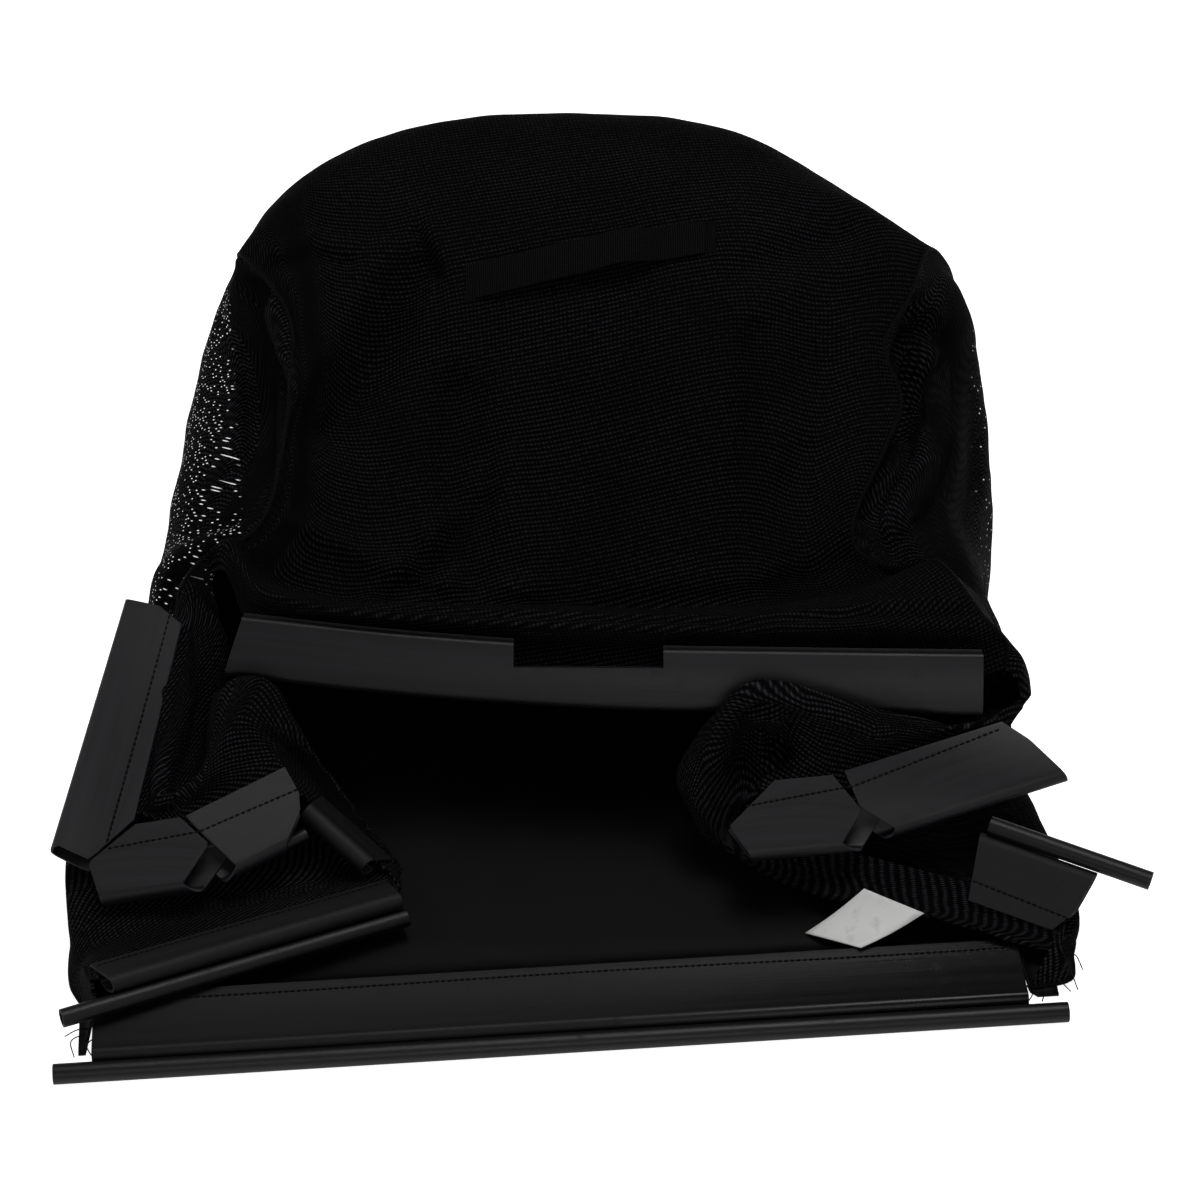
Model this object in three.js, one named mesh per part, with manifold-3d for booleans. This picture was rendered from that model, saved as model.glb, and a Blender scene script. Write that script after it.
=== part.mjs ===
// Mower grass collection bag, lying empty on its floor with the mouth towards -Y.
// Millimetres, +Z up, origin at the bottom centre of the whole part.
import * as THREE from 'three';
import { mergeVertices } from 'three/addons/utils/BufferGeometryUtils.js';
import Module from 'manifold-3d';

const wasm = await Module();
wasm.setup();

// Sheets
const fabricThickness = 2.2;
const vinylThickness = 2;
const clearance = 0.3;

// Seam bindings
const bindingRadius = 2.4;
const bindingSides = 6;
const seamSteps = 26;

// Snap-on clip channel, one extruded section cut to lengths
const clipWidth = 40;
const clipWall = 1.6;
const bendRadius = 4.6;
const returnLength = 19;
const returnBow = 1.2;
const curlRadius = 1.9;
const rimTuck = 9;
const rimReach = 5;

// Top clip
const topClipHeight = 31;
const topBendRadius = 4;
const topReturnLength = 25;
const notchWidth = 78;
const notchDepth = 10;
const notchShift = -11;
const topEndSlope = 10;
const hemSeat = 1.1;

// Front clip
const frontClipWidth = 41;
const frontBendRadius = 4.4;

// Narrow clips on the left
const foldClipWidth = 20;
const foldReturnLength = 4;
const rollClipWidth = 20;
const rollReturnLength = 6;
const rollBendRadius = 4;

// Stiffener tubes
const frontTubeRadius = 5.2;
const sideTubeRadius = 4.8;
const innerTubeRadius = 3.8;
const tubeWall = 1.4;
const tubeSides = 20;

// Strap and label
const strapWidth = 20;
const strapThickness = 1.8;
const strapRise = 7;
const strapSeat = 0.2;
const labelThickness = 1;
const labelSag = 1.5;
const labelSewn = [[131, -182, 23.5], [161, -197, 21]];
const labelFree = [[101, -194, 2.8], [128, -214, 13.5]];

// Bag body, as it lies; its points are drawn for drawnWidth, drawnHeight and drawnDepth
const drawnWidth = 440;
const drawnHeight = 212;
const drawnDepth = 292;
const bodyWidth = 440;
const domeHeight = 212;
const bodyDepth = 292;

const up = new THREE.Vector3(0, 0, 1);
const faceUp = new THREE.Vector3(0, -0.67, 0.74);

function vec(values) {
  return new THREE.Vector3(values[0], values[1], values[2]);
}

function mix(a, b, t) {
  return a.clone().lerp(b, t);
}

// Point on a smooth or straight line through the points, t from 0 to 1
function along(points, t, straight = false) {
  if (points.length === 1) return points[0].clone();
  if (straight) {
    const place = Math.min(t, 1) * (points.length - 1);
    const index = Math.min(Math.floor(place), points.length - 2);
    return mix(points[index], points[index + 1], place - index);
  }
  return new THREE.CatmullRomCurve3(points, false, 'centripetal').getPoint(Math.min(t, 1));
}

function steps(count) {
  return Array.from({ length: count + 1 }, (_, index) => index / count);
}

// Steps along spans of equal share, each span with its own number of steps
function spanSteps(counts) {
  const places = counts.flatMap((count, span) => steps(count).slice(1).map((t) => span + t));
  return [0, ...places].map((place) => place / counts.length);
}

// Grid of points on the surface that a list of rows spans
function surface(rows, alongSteps, acrossSteps) {
  const columns = alongSteps.map((a) => rows.map((row) => along(row.points, a, row.straight)));
  return acrossSteps.map((b) => columns.map((column) => along(column, b)));
}

// Pulls one edge of a grid back from the line it ends on, for a seam binding
function setBack(grid, side, distance) {
  const last = grid.length - 1;
  const end = grid[0].length - 1;
  const pull = (edge, next) => {
    const inner = next.clone();
    const step = inner.sub(edge).setLength(distance);
    edge.add(step);
  };
  if (side === 'start') grid.forEach((row) => pull(row[0], row[1]));
  if (side === 'end') grid.forEach((row) => pull(row[end], row[end - 1]));
  if (side === 'front') grid[0].forEach((point, i) => pull(point, grid[1][i]));
  if (side === 'rear') grid[last].forEach((point, i) => pull(point, grid[last - 1][i]));
}

function signedVolume(positions, triangles) {
  const a = new THREE.Vector3();
  const b = new THREE.Vector3();
  const c = new THREE.Vector3();
  let total = 0;
  for (let k = 0; k < triangles.length; k += 3) {
    a.fromArray(positions, triangles[k] * 3);
    b.fromArray(positions, triangles[k + 1] * 3);
    c.fromArray(positions, triangles[k + 2] * 3);
    total += a.dot(b.cross(c)) / 6;
  }
  return total;
}

function solid(points, triangles) {
  const positions = points.flatMap((p) => [p.x, p.y, p.z]);
  if (signedVolume(positions, triangles) < 0) {
    for (let k = 0; k < triangles.length; k += 3) {
      const keep = triangles[k + 1];
      triangles[k + 1] = triangles[k + 2];
      triangles[k + 2] = keep;
    }
  }
  const geometry = new THREE.BufferGeometry();
  geometry.setAttribute('position', new THREE.Float32BufferAttribute(positions, 3));
  geometry.setIndex(triangles);
  return geometry;
}

function gridNormals(grid) {
  const last = grid.length - 1;
  const end = grid[0].length - 1;
  return grid.map((row, j) => row.map((point, i) => {
    const alongRow = row[Math.min(i + 1, end)].clone().sub(row[Math.max(i - 1, 0)]);
    const upRows = grid[Math.min(j + 1, last)][i].clone().sub(grid[Math.max(j - 1, 0)][i]);
    return alongRow.cross(upRows).normalize();
  }));
}

// Closed thin sheet around a grid of points
function sheet(grid, thickness) {
  const normals = gridNormals(grid);
  const height = grid.length;
  const width = grid[0].length;
  const points = [];
  for (const side of [0.5, -0.5]) {
    grid.forEach((row, j) => row.forEach((point, i) => {
      points.push(point.clone().addScaledVector(normals[j][i], side * thickness));
    }));
  }
  const upper = (j, i) => j * width + i;
  const lower = (j, i) => height * width + j * width + i;
  const triangles = [];
  const quad = (a, b, c, d) => triangles.push(a, b, c, a, c, d);
  for (let j = 0; j < height - 1; j += 1) {
    for (let i = 0; i < width - 1; i += 1) {
      quad(upper(j, i), upper(j, i + 1), upper(j + 1, i + 1), upper(j + 1, i));
      quad(lower(j, i), lower(j + 1, i), lower(j + 1, i + 1), lower(j, i + 1));
    }
    quad(upper(j, 0), upper(j + 1, 0), lower(j + 1, 0), lower(j, 0));
    quad(upper(j + 1, width - 1), upper(j, width - 1), lower(j, width - 1), lower(j + 1, width - 1));
  }
  for (let i = 0; i < width - 1; i += 1) {
    quad(upper(0, i + 1), upper(0, i), lower(0, i), lower(0, i + 1));
    const top = height - 1;
    quad(upper(top, i), upper(top, i + 1), lower(top, i + 1), lower(top, i));
  }
  return solid(points, triangles);
}

// Sweeps a closed outline through stations; a station may shift each point along the sweep
function sweep(section, stations) {
  const outline = THREE.ShapeUtils.area(section) < 0 ? [...section].reverse() : section;
  const count = outline.length;
  const points = stations.flatMap((s) => outline.map((p) => {
    const point = s.origin.clone().addScaledVector(s.across, p.x).addScaledVector(s.normal, p.y);
    return s.shift ? point.addScaledVector(s.forward, s.shift(p.x)) : point;
  }));
  const triangles = [];
  for (let k = 0; k < stations.length - 1; k += 1) {
    for (let i = 0; i < count; i += 1) {
      const next = (i + 1) % count;
      const a = k * count + i;
      const b = k * count + next;
      triangles.push(a, b, b + count, a, b + count, a + count);
    }
  }
  const top = (stations.length - 1) * count;
  THREE.ShapeUtils.triangulateShape(outline, []).forEach(([a, b, c]) => {
    const turned = THREE.ShapeUtils.area([outline[a], outline[b], outline[c]]) < 0;
    const [d, e] = turned ? [c, b] : [b, c];
    triangles.push(a, e, d, top + a, top + d, top + e);
  });
  return solid(points, triangles);
}

function circle(radius, sides) {
  return Array.from({ length: sides }, (_, i) => {
    const angle = (2 * Math.PI * i) / sides;
    return new THREE.Vector2(radius * Math.cos(angle), radius * Math.sin(angle));
  });
}

// Round cord along a list of points
function cord(points, radius, sides) {
  const stations = points.map((origin, k) => {
    const before = points[Math.max(k - 1, 0)];
    const after = points[Math.min(k + 1, points.length - 1)];
    const forward = after.clone().sub(before).normalize();
    const guide = Math.abs(forward.z) > 0.8 ? new THREE.Vector3(1, 0, 0) : up;
    return { origin, forward, guide };
  });
  let across = stations[0].guide.clone().cross(stations[0].forward).normalize();
  stations.forEach((station) => {
    across = across.addScaledVector(station.forward, -across.dot(station.forward)).normalize();
    station.across = across.clone();
    station.normal = station.forward.clone().cross(across);
  });
  return sweep(circle(radius, sides), stations);
}

// Straight hollow tube between two points
function tube(from, to, radius) {
  const shape = new THREE.Shape();
  shape.absarc(0, 0, radius, 0, 2 * Math.PI, false);
  const bore = new THREE.Path();
  bore.absarc(0, 0, radius - tubeWall, 0, 2 * Math.PI, true);
  shape.holes.push(bore);
  const length = from.distanceTo(to);
  const settings = { depth: length, bevelEnabled: false, curveSegments: tubeSides / 2, steps: 1 };
  const geometry = new THREE.ExtrudeGeometry(shape, settings);
  const turn = new THREE.Quaternion().setFromUnitVectors(up, to.clone().sub(from).normalize());
  geometry.applyQuaternion(turn);
  geometry.translate(from.x, from.y, from.z);
  return geometry;
}

// Outline of a wall of one thickness around a centre line
function wallOutline(line, wall) {
  const left = [];
  const right = [];
  line.forEach((point, k) => {
    const before = line[Math.max(k - 1, 0)];
    const after = line[Math.min(k + 1, line.length - 1)];
    const direction = after.clone().sub(before).normalize();
    const normal = new THREE.Vector2(-direction.y, direction.x);
    left.push(point.clone().addScaledVector(normal, wall / 2));
    right.push(point.clone().addScaledVector(normal, -wall / 2));
  });
  return [...left, ...right.reverse()];
}

// Section of a clip: flange edge at x 0, bend at x width, return wall below, tip curled in
function clipSection(width, radius, back, curl, breaks = []) {
  const line = [new THREE.Vector2(0, 0)];
  breaks.forEach((x) => line.push(new THREE.Vector2(x, 0)));
  const centre = width - clipWall / 2 - radius;
  for (const t of steps(6)) {
    const angle = Math.PI / 2 - Math.PI * t;
    line.push(new THREE.Vector2(centre + radius * Math.cos(angle), radius * Math.sin(angle) - radius));
  }
  for (const t of [0.35, 0.7, 1]) {
    const bow = returnBow * Math.sin(Math.PI * t);
    line.push(new THREE.Vector2(centre - back * t, -2 * radius - bow + 0.8 * t));
  }
  const tip = line[line.length - 1];
  for (const t of [0.25, 0.5, 0.75, 1]) {
    const angle = -Math.PI / 2 - 1.25 * Math.PI * t;
    const x = tip.x + curl * Math.cos(angle);
    line.push(new THREE.Vector2(x, tip.y + curl + curl * Math.sin(angle)));
  }
  return wallOutline(line, clipWall);
}

function shiftFrom(pairs) {
  return (x) => {
    const index = pairs.findIndex((pair) => pair[0] >= x);
    if (index === -1) return pairs[pairs.length - 1][1];
    if (index === 0) return pairs[0][1];
    const [x0, s0] = pairs[index - 1];
    const [x1, s1] = pairs[index];
    return s0 + ((s1 - s0) * (x - x0)) / (x1 - x0);
  };
}

// A straight clip lies along its flange edge; side is a point on the side of its bend
function straightClip(data) {
  const from = vec(data.from);
  const to = vec(data.to);
  const forward = to.clone().sub(from).normalize();
  const frame = (side, base) => {
    const across = vec(side).sub(base);
    across.addScaledVector(forward, -across.dot(forward)).normalize();
    const normal = across.clone().cross(forward);
    if (normal.dot(faceUp) < 0) normal.negate();
    return { across, normal };
  };
  const first = frame(data.side, from);
  const last = data.sideEnd ? frame(data.sideEnd, to) : first;
  const width = data.width ?? clipWidth;
  const start = shiftFrom(data.start);
  const end = shiftFrom(data.end);
  const breaks = [...new Set([...data.start, ...data.end].map((pair) => pair[0]))];
  const inner = breaks.filter((x) => x > 0 && x < width - 8).sort((a, b) => a - b);
  const back = data.back ?? returnLength;
  const bend = data.radius ?? bendRadius;
  const outline = clipSection(width, bend, back, data.curl ?? curlRadius, inner);
  const stations = [
    { origin: from, forward, shift: start, ...first },
    { origin: to, forward, shift: end, ...last },
  ];
  // Middle of a cloth that lies under the flange, by its depth from the flange edge
  const seat = clipWall / 2 + clearance + fabricThickness / 2;
  const under = (t, depth, drop = 0) => mix(from, to, t)
    .addScaledVector(mix(first.across, last.across, t), depth)
    .addScaledVector(mix(first.normal, last.normal, t), -(seat + drop));
  // Middle of a tube that lies against the outside of the bend
  const beside = (t, radius, turn) => {
    const reach = bend + clipWall / 2 + clearance + radius;
    const angle = THREE.MathUtils.degToRad(turn);
    const sideways = width - clipWall / 2 - bend + reach * Math.cos(angle);
    return mix(from, to, t)
      .addScaledVector(mix(first.across, last.across, t), sideways)
      .addScaledVector(mix(first.normal, last.normal, t), -bend + reach * Math.sin(angle));
  };
  return { geometry: sweep(outline, stations), from, to, forward, width, under, beside };
}

const leftUpper = straightClip({
  from: [-226, -55, 92],
  to: [-246, -153, 43],
  side: [-263, -46, 80],
  sideEnd: [-286, -158, 40],
  start: [[0, 0], [16, -10], [40, -14]],
  end: [[0, -1], [18, 24], [40, 18]],
});

const leftCorner = straightClip({
  from: [-245, -155, 43],
  to: [-222, -153, 46],
  side: [-240, -188, 28],
  start: [[0, 0], [17, -26], [40, -21]],
  end: [[0, 0], [17, 14], [40, -5]],
});

const leftLower = straightClip({
  from: [-219, -154, 48],
  to: [-169, -126, 56],
  side: [-192, -180, 32],
  start: [[0, 0], [12, 3], [40, 12]],
  end: [[0, 0], [16, 0], [25, -4], [40, -22]],
});

const leftFold = straightClip({
  from: [-152, -124, 33],
  to: [-114, -154, 16],
  side: [-158, -141, 43],
  width: foldClipWidth,
  back: foldReturnLength,
  curl: 1.2,
  start: [[0, 1], [20, 3]],
  end: [[0, 0], [20, -5]],
});

const leftBottom = straightClip({
  from: [-258, -235, 25],
  to: [-116, -172, 19],
  side: [-256, -254, 30],
  width: rollClipWidth,
  back: rollReturnLength,
  curl: 1.5,
  radius: rollBendRadius,
  start: [[0, -4], [20, 2]],
  end: [[0, 0], [20, 2]],
});

const rightUpper = straightClip({
  from: [203, -117, 80],
  to: [121, -139, 66],
  side: [213, -153, 66],
  sideEnd: [132, -166, 39],
  start: [[0, 0], [14, -10], [40, -22]],
  end: [[0, 0], [20, -2], [40, -20]],
});

const rightCorner = straightClip({
  from: [115, -140, 64],
  to: [85, -142, 62],
  side: [100, -170, 44],
  start: [[0, 0], [20, -13], [40, 2]],
  end: [[0, 0], [22, 26], [40, 15]],
});

const rightBottom = straightClip({
  from: [226, -206, 18],
  to: [184, -189, 22],
  side: [246, -184, 38],
  width: 36,
  start: [[0, 0], [14, -8], [36, -12]],
  end: [[0, 0], [36, 6]],
});

// Top clip: the flange stands behind, the bowed wall in front, the bend below
const topLine = [[-202, -82, 81], [-104, -94, 78], [0, -103, 77], [98, -108, 79], [193, -113, 82]].map(vec);
const topUp = new THREE.Vector3(0, 0.62, 0.785).normalize();
const topFront = new THREE.Vector3(0, -0.785, 0.62).normalize();

function topSection() {
  const depth = topBendRadius;
  const line = [new THREE.Vector2(-depth, topClipHeight + 2), new THREE.Vector2(-depth, 14)];
  for (const t of steps(6)) {
    const angle = Math.PI + Math.PI * t;
    line.push(new THREE.Vector2(depth * Math.cos(angle), depth + depth * Math.sin(angle)));
  }
  for (const t of [0.3, 0.6, 1]) {
    line.push(new THREE.Vector2(depth + returnBow * Math.sin(Math.PI * t), depth + topReturnLength * t));
  }
  for (const t of [0.3, 0.65, 1]) {
    const angle = Math.PI * 1.1 * t;
    line.push(new THREE.Vector2(
      depth - curlRadius + curlRadius * Math.cos(angle),
      depth + topReturnLength + curlRadius * Math.sin(angle),
    ));
  }
  return wallOutline(line, clipWall);
}

const topStations = steps(10).map((t) => {
  const origin = along(topLine, t);
  const ahead = along(topLine, Math.min(t + 0.02, 1)).sub(along(topLine, Math.max(t - 0.02, 0)));
  const forward = ahead.normalize();
  const slope = t === 0 ? topEndSlope / topClipHeight : 0;
  const upward = topUp.clone().addScaledVector(forward, slope);
  return { origin, across: topFront, normal: upward };
});

function toManifold(geometry) {
  const clean = geometry.clone();
  clean.deleteAttribute('normal');
  clean.deleteAttribute('uv');
  const merged = mergeVertices(clean, 1e-4);
  const vertProperties = new Float32Array(merged.attributes.position.array);
  const triVerts = new Uint32Array(merged.index.array);
  return new wasm.Manifold(new wasm.Mesh({ numProp: 3, vertProperties, triVerts }));
}

function fromManifold(body) {
  const result = body.getMesh();
  const geometry = new THREE.BufferGeometry();
  const position = new THREE.Float32BufferAttribute(result.vertProperties, 3);
  geometry.setAttribute('position', position);
  geometry.setIndex(Array.from(result.triVerts));
  return geometry;
}

const topMiddle = along(topLine, 0.5);
const notchTool = new THREE.BoxGeometry(notchWidth, 40, 40);
notchTool.applyMatrix4(new THREE.Matrix4().makeBasis(
  new THREE.Vector3(1, 0, 0),
  topFront,
  topUp.clone().negate(),
));
const notchFloor = topClipHeight - notchDepth;
notchTool.translate(topMiddle.x + notchShift, topMiddle.y, topMiddle.z);
notchTool.translate(0, topUp.y * (notchFloor + 20), topUp.z * (notchFloor + 20));
const topClipBody = toManifold(sweep(topSection(), topStations)).subtract(toManifold(notchTool));

// Front clip and its tube
const frontTubeFrom = vec([-276, -291, frontTubeRadius]);
const frontTubeTo = vec([231, -250, frontTubeRadius]);
const frontRun = frontTubeTo.clone().sub(frontTubeFrom).normalize();
const frontIn = up.clone().cross(frontRun).normalize();
const frontClipFrom = -257;
const frontClipTo = 212;
const frontStations = steps(4).map((t) => {
  const x = frontClipFrom + (frontClipTo - frontClipFrom) * t;
  const reach = (x - frontTubeFrom.x) / frontRun.x;
  const bend = frontTubeFrom.clone().addScaledVector(frontRun, reach);
  bend.addScaledVector(frontIn, frontTubeRadius + clearance + frontClipWidth);
  bend.z = 2 * frontBendRadius + clipWall;
  return { origin: bend, across: frontIn.clone().negate(), normal: up, forward: frontRun };
});
const frontSection = clipSection(frontClipWidth, frontBendRadius, returnLength, curlRadius, []);

function frontUnder(t, depth) {
  const place = t * (frontStations.length - 1);
  const index = Math.min(Math.floor(place), frontStations.length - 2);
  const point = mix(frontStations[index].origin, frontStations[index + 1].origin, place - index);
  point.addScaledVector(frontIn, -depth);
  point.z -= clipWall / 2 + clearance + vinylThickness / 2;
  return point;
}

// A point of the bag's body, drawn in the photograph's pose
function body(values) {
  const [x, y, z] = values;
  return new THREE.Vector3(
    (x * bodyWidth) / drawnWidth,
    (y * bodyDepth) / drawnDepth,
    (z * domeHeight) / drawnHeight,
  );
}

// Middle of a cloth behind the top clip's flange, by its height on the clip
function behindTop(t, height, seat) {
  const point = along(topLine, t).addScaledVector(topUp, height);
  const back = topBendRadius + clipWall / 2 + seat + fabricThickness / 2;
  return point.addScaledVector(topFront, -back);
}

const clipPlaces = [0.05, 0.15, 0.3, 0.5, 0.72, 0.93];
const hemRows = [[14, hemSeat], [topClipHeight + 1, hemSeat + 3.4]]
  .map(([height, seat]) => clipPlaces.map((t) => behindTop(t, height, seat)));
const hemEnds = [
  { left: [[-229, -38, 91], [-206, -30, 108]], right: [206, -92, 94] },
  { left: [[-228, -36, 98], [-207, -26, 113]], right: [206, -86, 107] },
];

const floorLine = bindingRadius + 0.1;

// Top and rear panel: rows run from the left seam to the right seam, mouth first
const topRows = [
  ...hemRows.map((row, k) => [...hemEnds[k].left.map(vec), ...row, vec(hemEnds[k].right)]),
  ...[
    [
      [-219, -33, 113], [-205, -22, 118], [-182, -56, 117], [-146, -69, 115], [-83, -75, 113],
      [-5, -79, 112], [78, -82, 113], [140, -82, 118], [194, -81, 120],
    ],
    [
      [-210, -20, 112], [-202, -14, 115], [-183, -38, 107], [-147, -51, 104], [-84, -51, 101],
      [-5, -53, 100], [79, -58, 105], [131, -56, 114], [173, -45, 126],
    ],
    [
      [-201, -4, 104], [-194, -6, 103], [-183, -16, 90], [-150, -22, 80], [-86, -23, 76],
      [-5, -22, 74], [81, -24, 80], [124, -24, 86], [158, -18, 98],
    ],
    [
      [-193, 1, 106], [-186, 0, 103], [-172, -2, 98], [-145, -6, 88], [-86, -9, 82], [-5, -8, 80],
      [70, -11, 86], [108, -10, 92], [134, -5, 99],
    ],
    [
      [-184, 15, 111], [-175, 19, 110], [-162, 23, 108], [-135, 26, 102], [-86, 24, 100],
      [-5, 26, 102], [71, 23, 106], [109, 19, 108], [131, 6, 108],
    ],
    [
      [-177, 47, 128], [-171, 54, 130], [-163, 60, 130], [-142, 65, 126], [-87, 61, 122],
      [-5, 60, 130], [71, 55, 134], [115, 56, 130], [150, 52, 124],
    ],
    [
      [-174, 77, 144], [-168, 88, 145], [-159, 95, 144], [-137, 104, 144], [-87, 94, 148],
      [-5, 86, 158], [71, 84, 160], [121, 89, 152], [160, 81, 134],
    ],
    [
      [-175, 115, 160], [-170, 124, 164], [-160, 129, 166], [-132, 127, 168], [-82, 119, 174],
      [-5, 111, 180], [66, 111, 180], [121, 113, 172], [151, 105, 154],
    ],
    [
      [-186, 134, 173], [-178, 146, 177], [-166, 155, 181], [-132, 155, 188], [-82, 149, 196],
      [-5, 144, 200], [66, 143, 198], [127, 146, 188], [165, 126, 170],
    ],
    [
      [-204, 154, 179], [-192, 172, 186], [-173, 187, 192], [-134, 202, 202], [-84, 208, 208],
      [-5, 202, 212], [68, 197, 208], [123, 181, 200], [177, 157, 180],
    ],
    [
      [-207, 172, 158], [-197, 192, 172], [-180, 208, 184], [-140, 234, 197], [-82, 248, 204],
      [-5, 252, 205], [72, 240, 200], [130, 206, 186], [190, 172, 158],
    ],
    [
      [-208, 190, 122], [-200, 211, 138], [-184, 228, 150], [-142, 256, 158], [-82, 270, 162],
      [-5, 276, 164], [76, 266, 160], [137, 234, 150], [198, 190, 122],
    ],
    [
      [-206, 205, 80], [-198, 223, 88], [-182, 240, 96], [-142, 266, 102], [-80, 282, 104],
      [-5, 288, 106], [77, 280, 104], [140, 250, 100], [202, 205, 80],
    ],
    [
      [-201, 214, 38], [-192, 230, 40], [-178, 243, 42], [-138, 266, 44], [-80, 281, 46],
      [-5, 287, 47], [77, 279, 46], [140, 252, 44], [202, 213, 38],
    ],
  ].map((row) => row.map(body)),
  [
    [-196, 218], [-188, 230], [-174, 241], [-136, 262], [-78, 277], [-5, 282], [76, 275],
    [138, 251], [198, 216],
  ].map(([x, y]) => body([x, y, 0]).setZ(floorLine)),
].map((points) => ({ points }));

const leftSeam = topRows.map((row) => row.points[0]);
const rightSeam = topRows.map((row) => row.points[row.points.length - 1]);
const rearLine = topRows[topRows.length - 1].points;
const rearCorner = 11 / 16;

// Left side: columns run from the seam round the loose clips to the floor's edge
function leftRim(depth) {
  return [
    leftUpper.under(0.02, depth, 0.4),
    leftUpper.under(0.93, depth, 1),
    mix(leftCorner.under(0.95, depth, 1), leftLower.under(0.02, depth, 1), 0.5),
    leftLower.under(0.97, depth),
    leftFold.under(0.05, depth, 0.4),
    leftFold.under(1.12, depth, 0.4),
    leftBottom.under(1.03, depth),
    leftBottom.under(-0.04, depth),
  ];
}

function onFloor(x, y) {
  return new THREE.Vector3(x, y, floorLine);
}

const leftRows = [
  {
    seam: 0,
    straight: true,
    middle: leftRim(rimTuck),
    foot: [-263, -252],
  },
  {
    seam: 0.02,
    straight: true,
    middle: leftRim(-rimReach),
    foot: [-267, -244],
  },
  {
    seam: 0.05,
    middle: [
      [-214, -52, 88], [-232, -144, 52], [-212, -140, 58], [-180, -114, 62], [-158, -112, 42],
      [-120, -146, 15], [-124, -160, 12], [-266, -214, 10],
    ],
    foot: [-273, -232],
  },
  {
    seam: 0.1,
    middle: [
      [-204, -50, 72], [-218, -130, 46], [-206, -126, 66], [-188, -108, 78], [-162, -108, 58],
      [-128, -138, 14], [-128, -152, 8], [-272, -198, 11],
    ],
    foot: [-276, -215],
  },
  {
    seam: 0.14,
    middle: [
      [-204, -54, 66], [-206, -98, 74], [-194, -98, 86], [-182, -92, 82], [-166, -100, 56],
      [-136, -128, 12], [-138, -144, 8], [-278, -180, 13],
    ],
    foot: [-276, -198],
  },
  {
    seam: 0.18,
    middle: [
      [-214, -34, 60], [-208, -62, 58], [-194, -68, 60], [-180, -70, 48], [-164, -84, 30],
      [-148, -106, 10], [-160, -120, 8], [-281, -150, 18],
    ],
    foot: [-273, -178],
  },
  {
    seam: 0.24,
    middle: [
      [-232, -14, 84], [-244, -30, 62], [-240, -42, 46], [-230, -48, 34], [-220, -58, 24],
      [-208, -76, 12], [-220, -90, 10], [-276, -112, 24],
    ],
    foot: [-266, -130],
  },
  {
    seam: 0.3125,
    middle: [
      [-212, 0, 104], [-232, -2, 96], [-245, -6, 80], [-250, -10, 60], [-251, -16, 42],
      [-251, -22, 30], [-252, -30, 22], [-251, -40, 14],
    ],
    foot: [-247, -50],
  },
  {
    seam: 0.4,
    middle: [
      [-196, 22, 100], [-214, 20, 96], [-232, 18, 92], [-243, 14, 76], [-247, 10, 56], [-247, 6, 40],
      [-246, 4, 26], [-244, 2, 14],
    ],
    foot: [-241, 0],
  },
  {
    seam: 0.5,
    middle: [
      [-184, 76, 120], [-196, 74, 108], [-214, 72, 114], [-232, 70, 104], [-240, 68, 80],
      [-242, 66, 56], [-240, 64, 36], [-237, 62, 18],
    ],
    foot: [-233, 60],
  },
  {
    seam: 0.57,
    middle: [
      [-186, 116, 140], [-198, 116, 122], [-212, 115, 124], [-227, 113, 116], [-236, 110, 92],
      [-238, 108, 62], [-236, 106, 38], [-232, 104, 18],
    ],
    foot: [-228, 102],
  },
  {
    seam: 0.65,
    middle: [
      [-206, 152, 162], [-214, 155, 150], [-222, 153, 135], [-228, 150, 115], [-232, 148, 90],
      [-232, 146, 62], [-229, 144, 38], [-225, 142, 18],
    ],
    foot: [-221, 140],
  },
];

// Right side, the same way
function rightRim(depth) {
  return [
    rightUpper.under(0.04, depth, 1.4),
    rightUpper.under(0.94, depth, 1.4),
    rightCorner.under(0.05, depth, 1),
    rightCorner.under(1.25, depth * 0.4),
  ];
}

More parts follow.
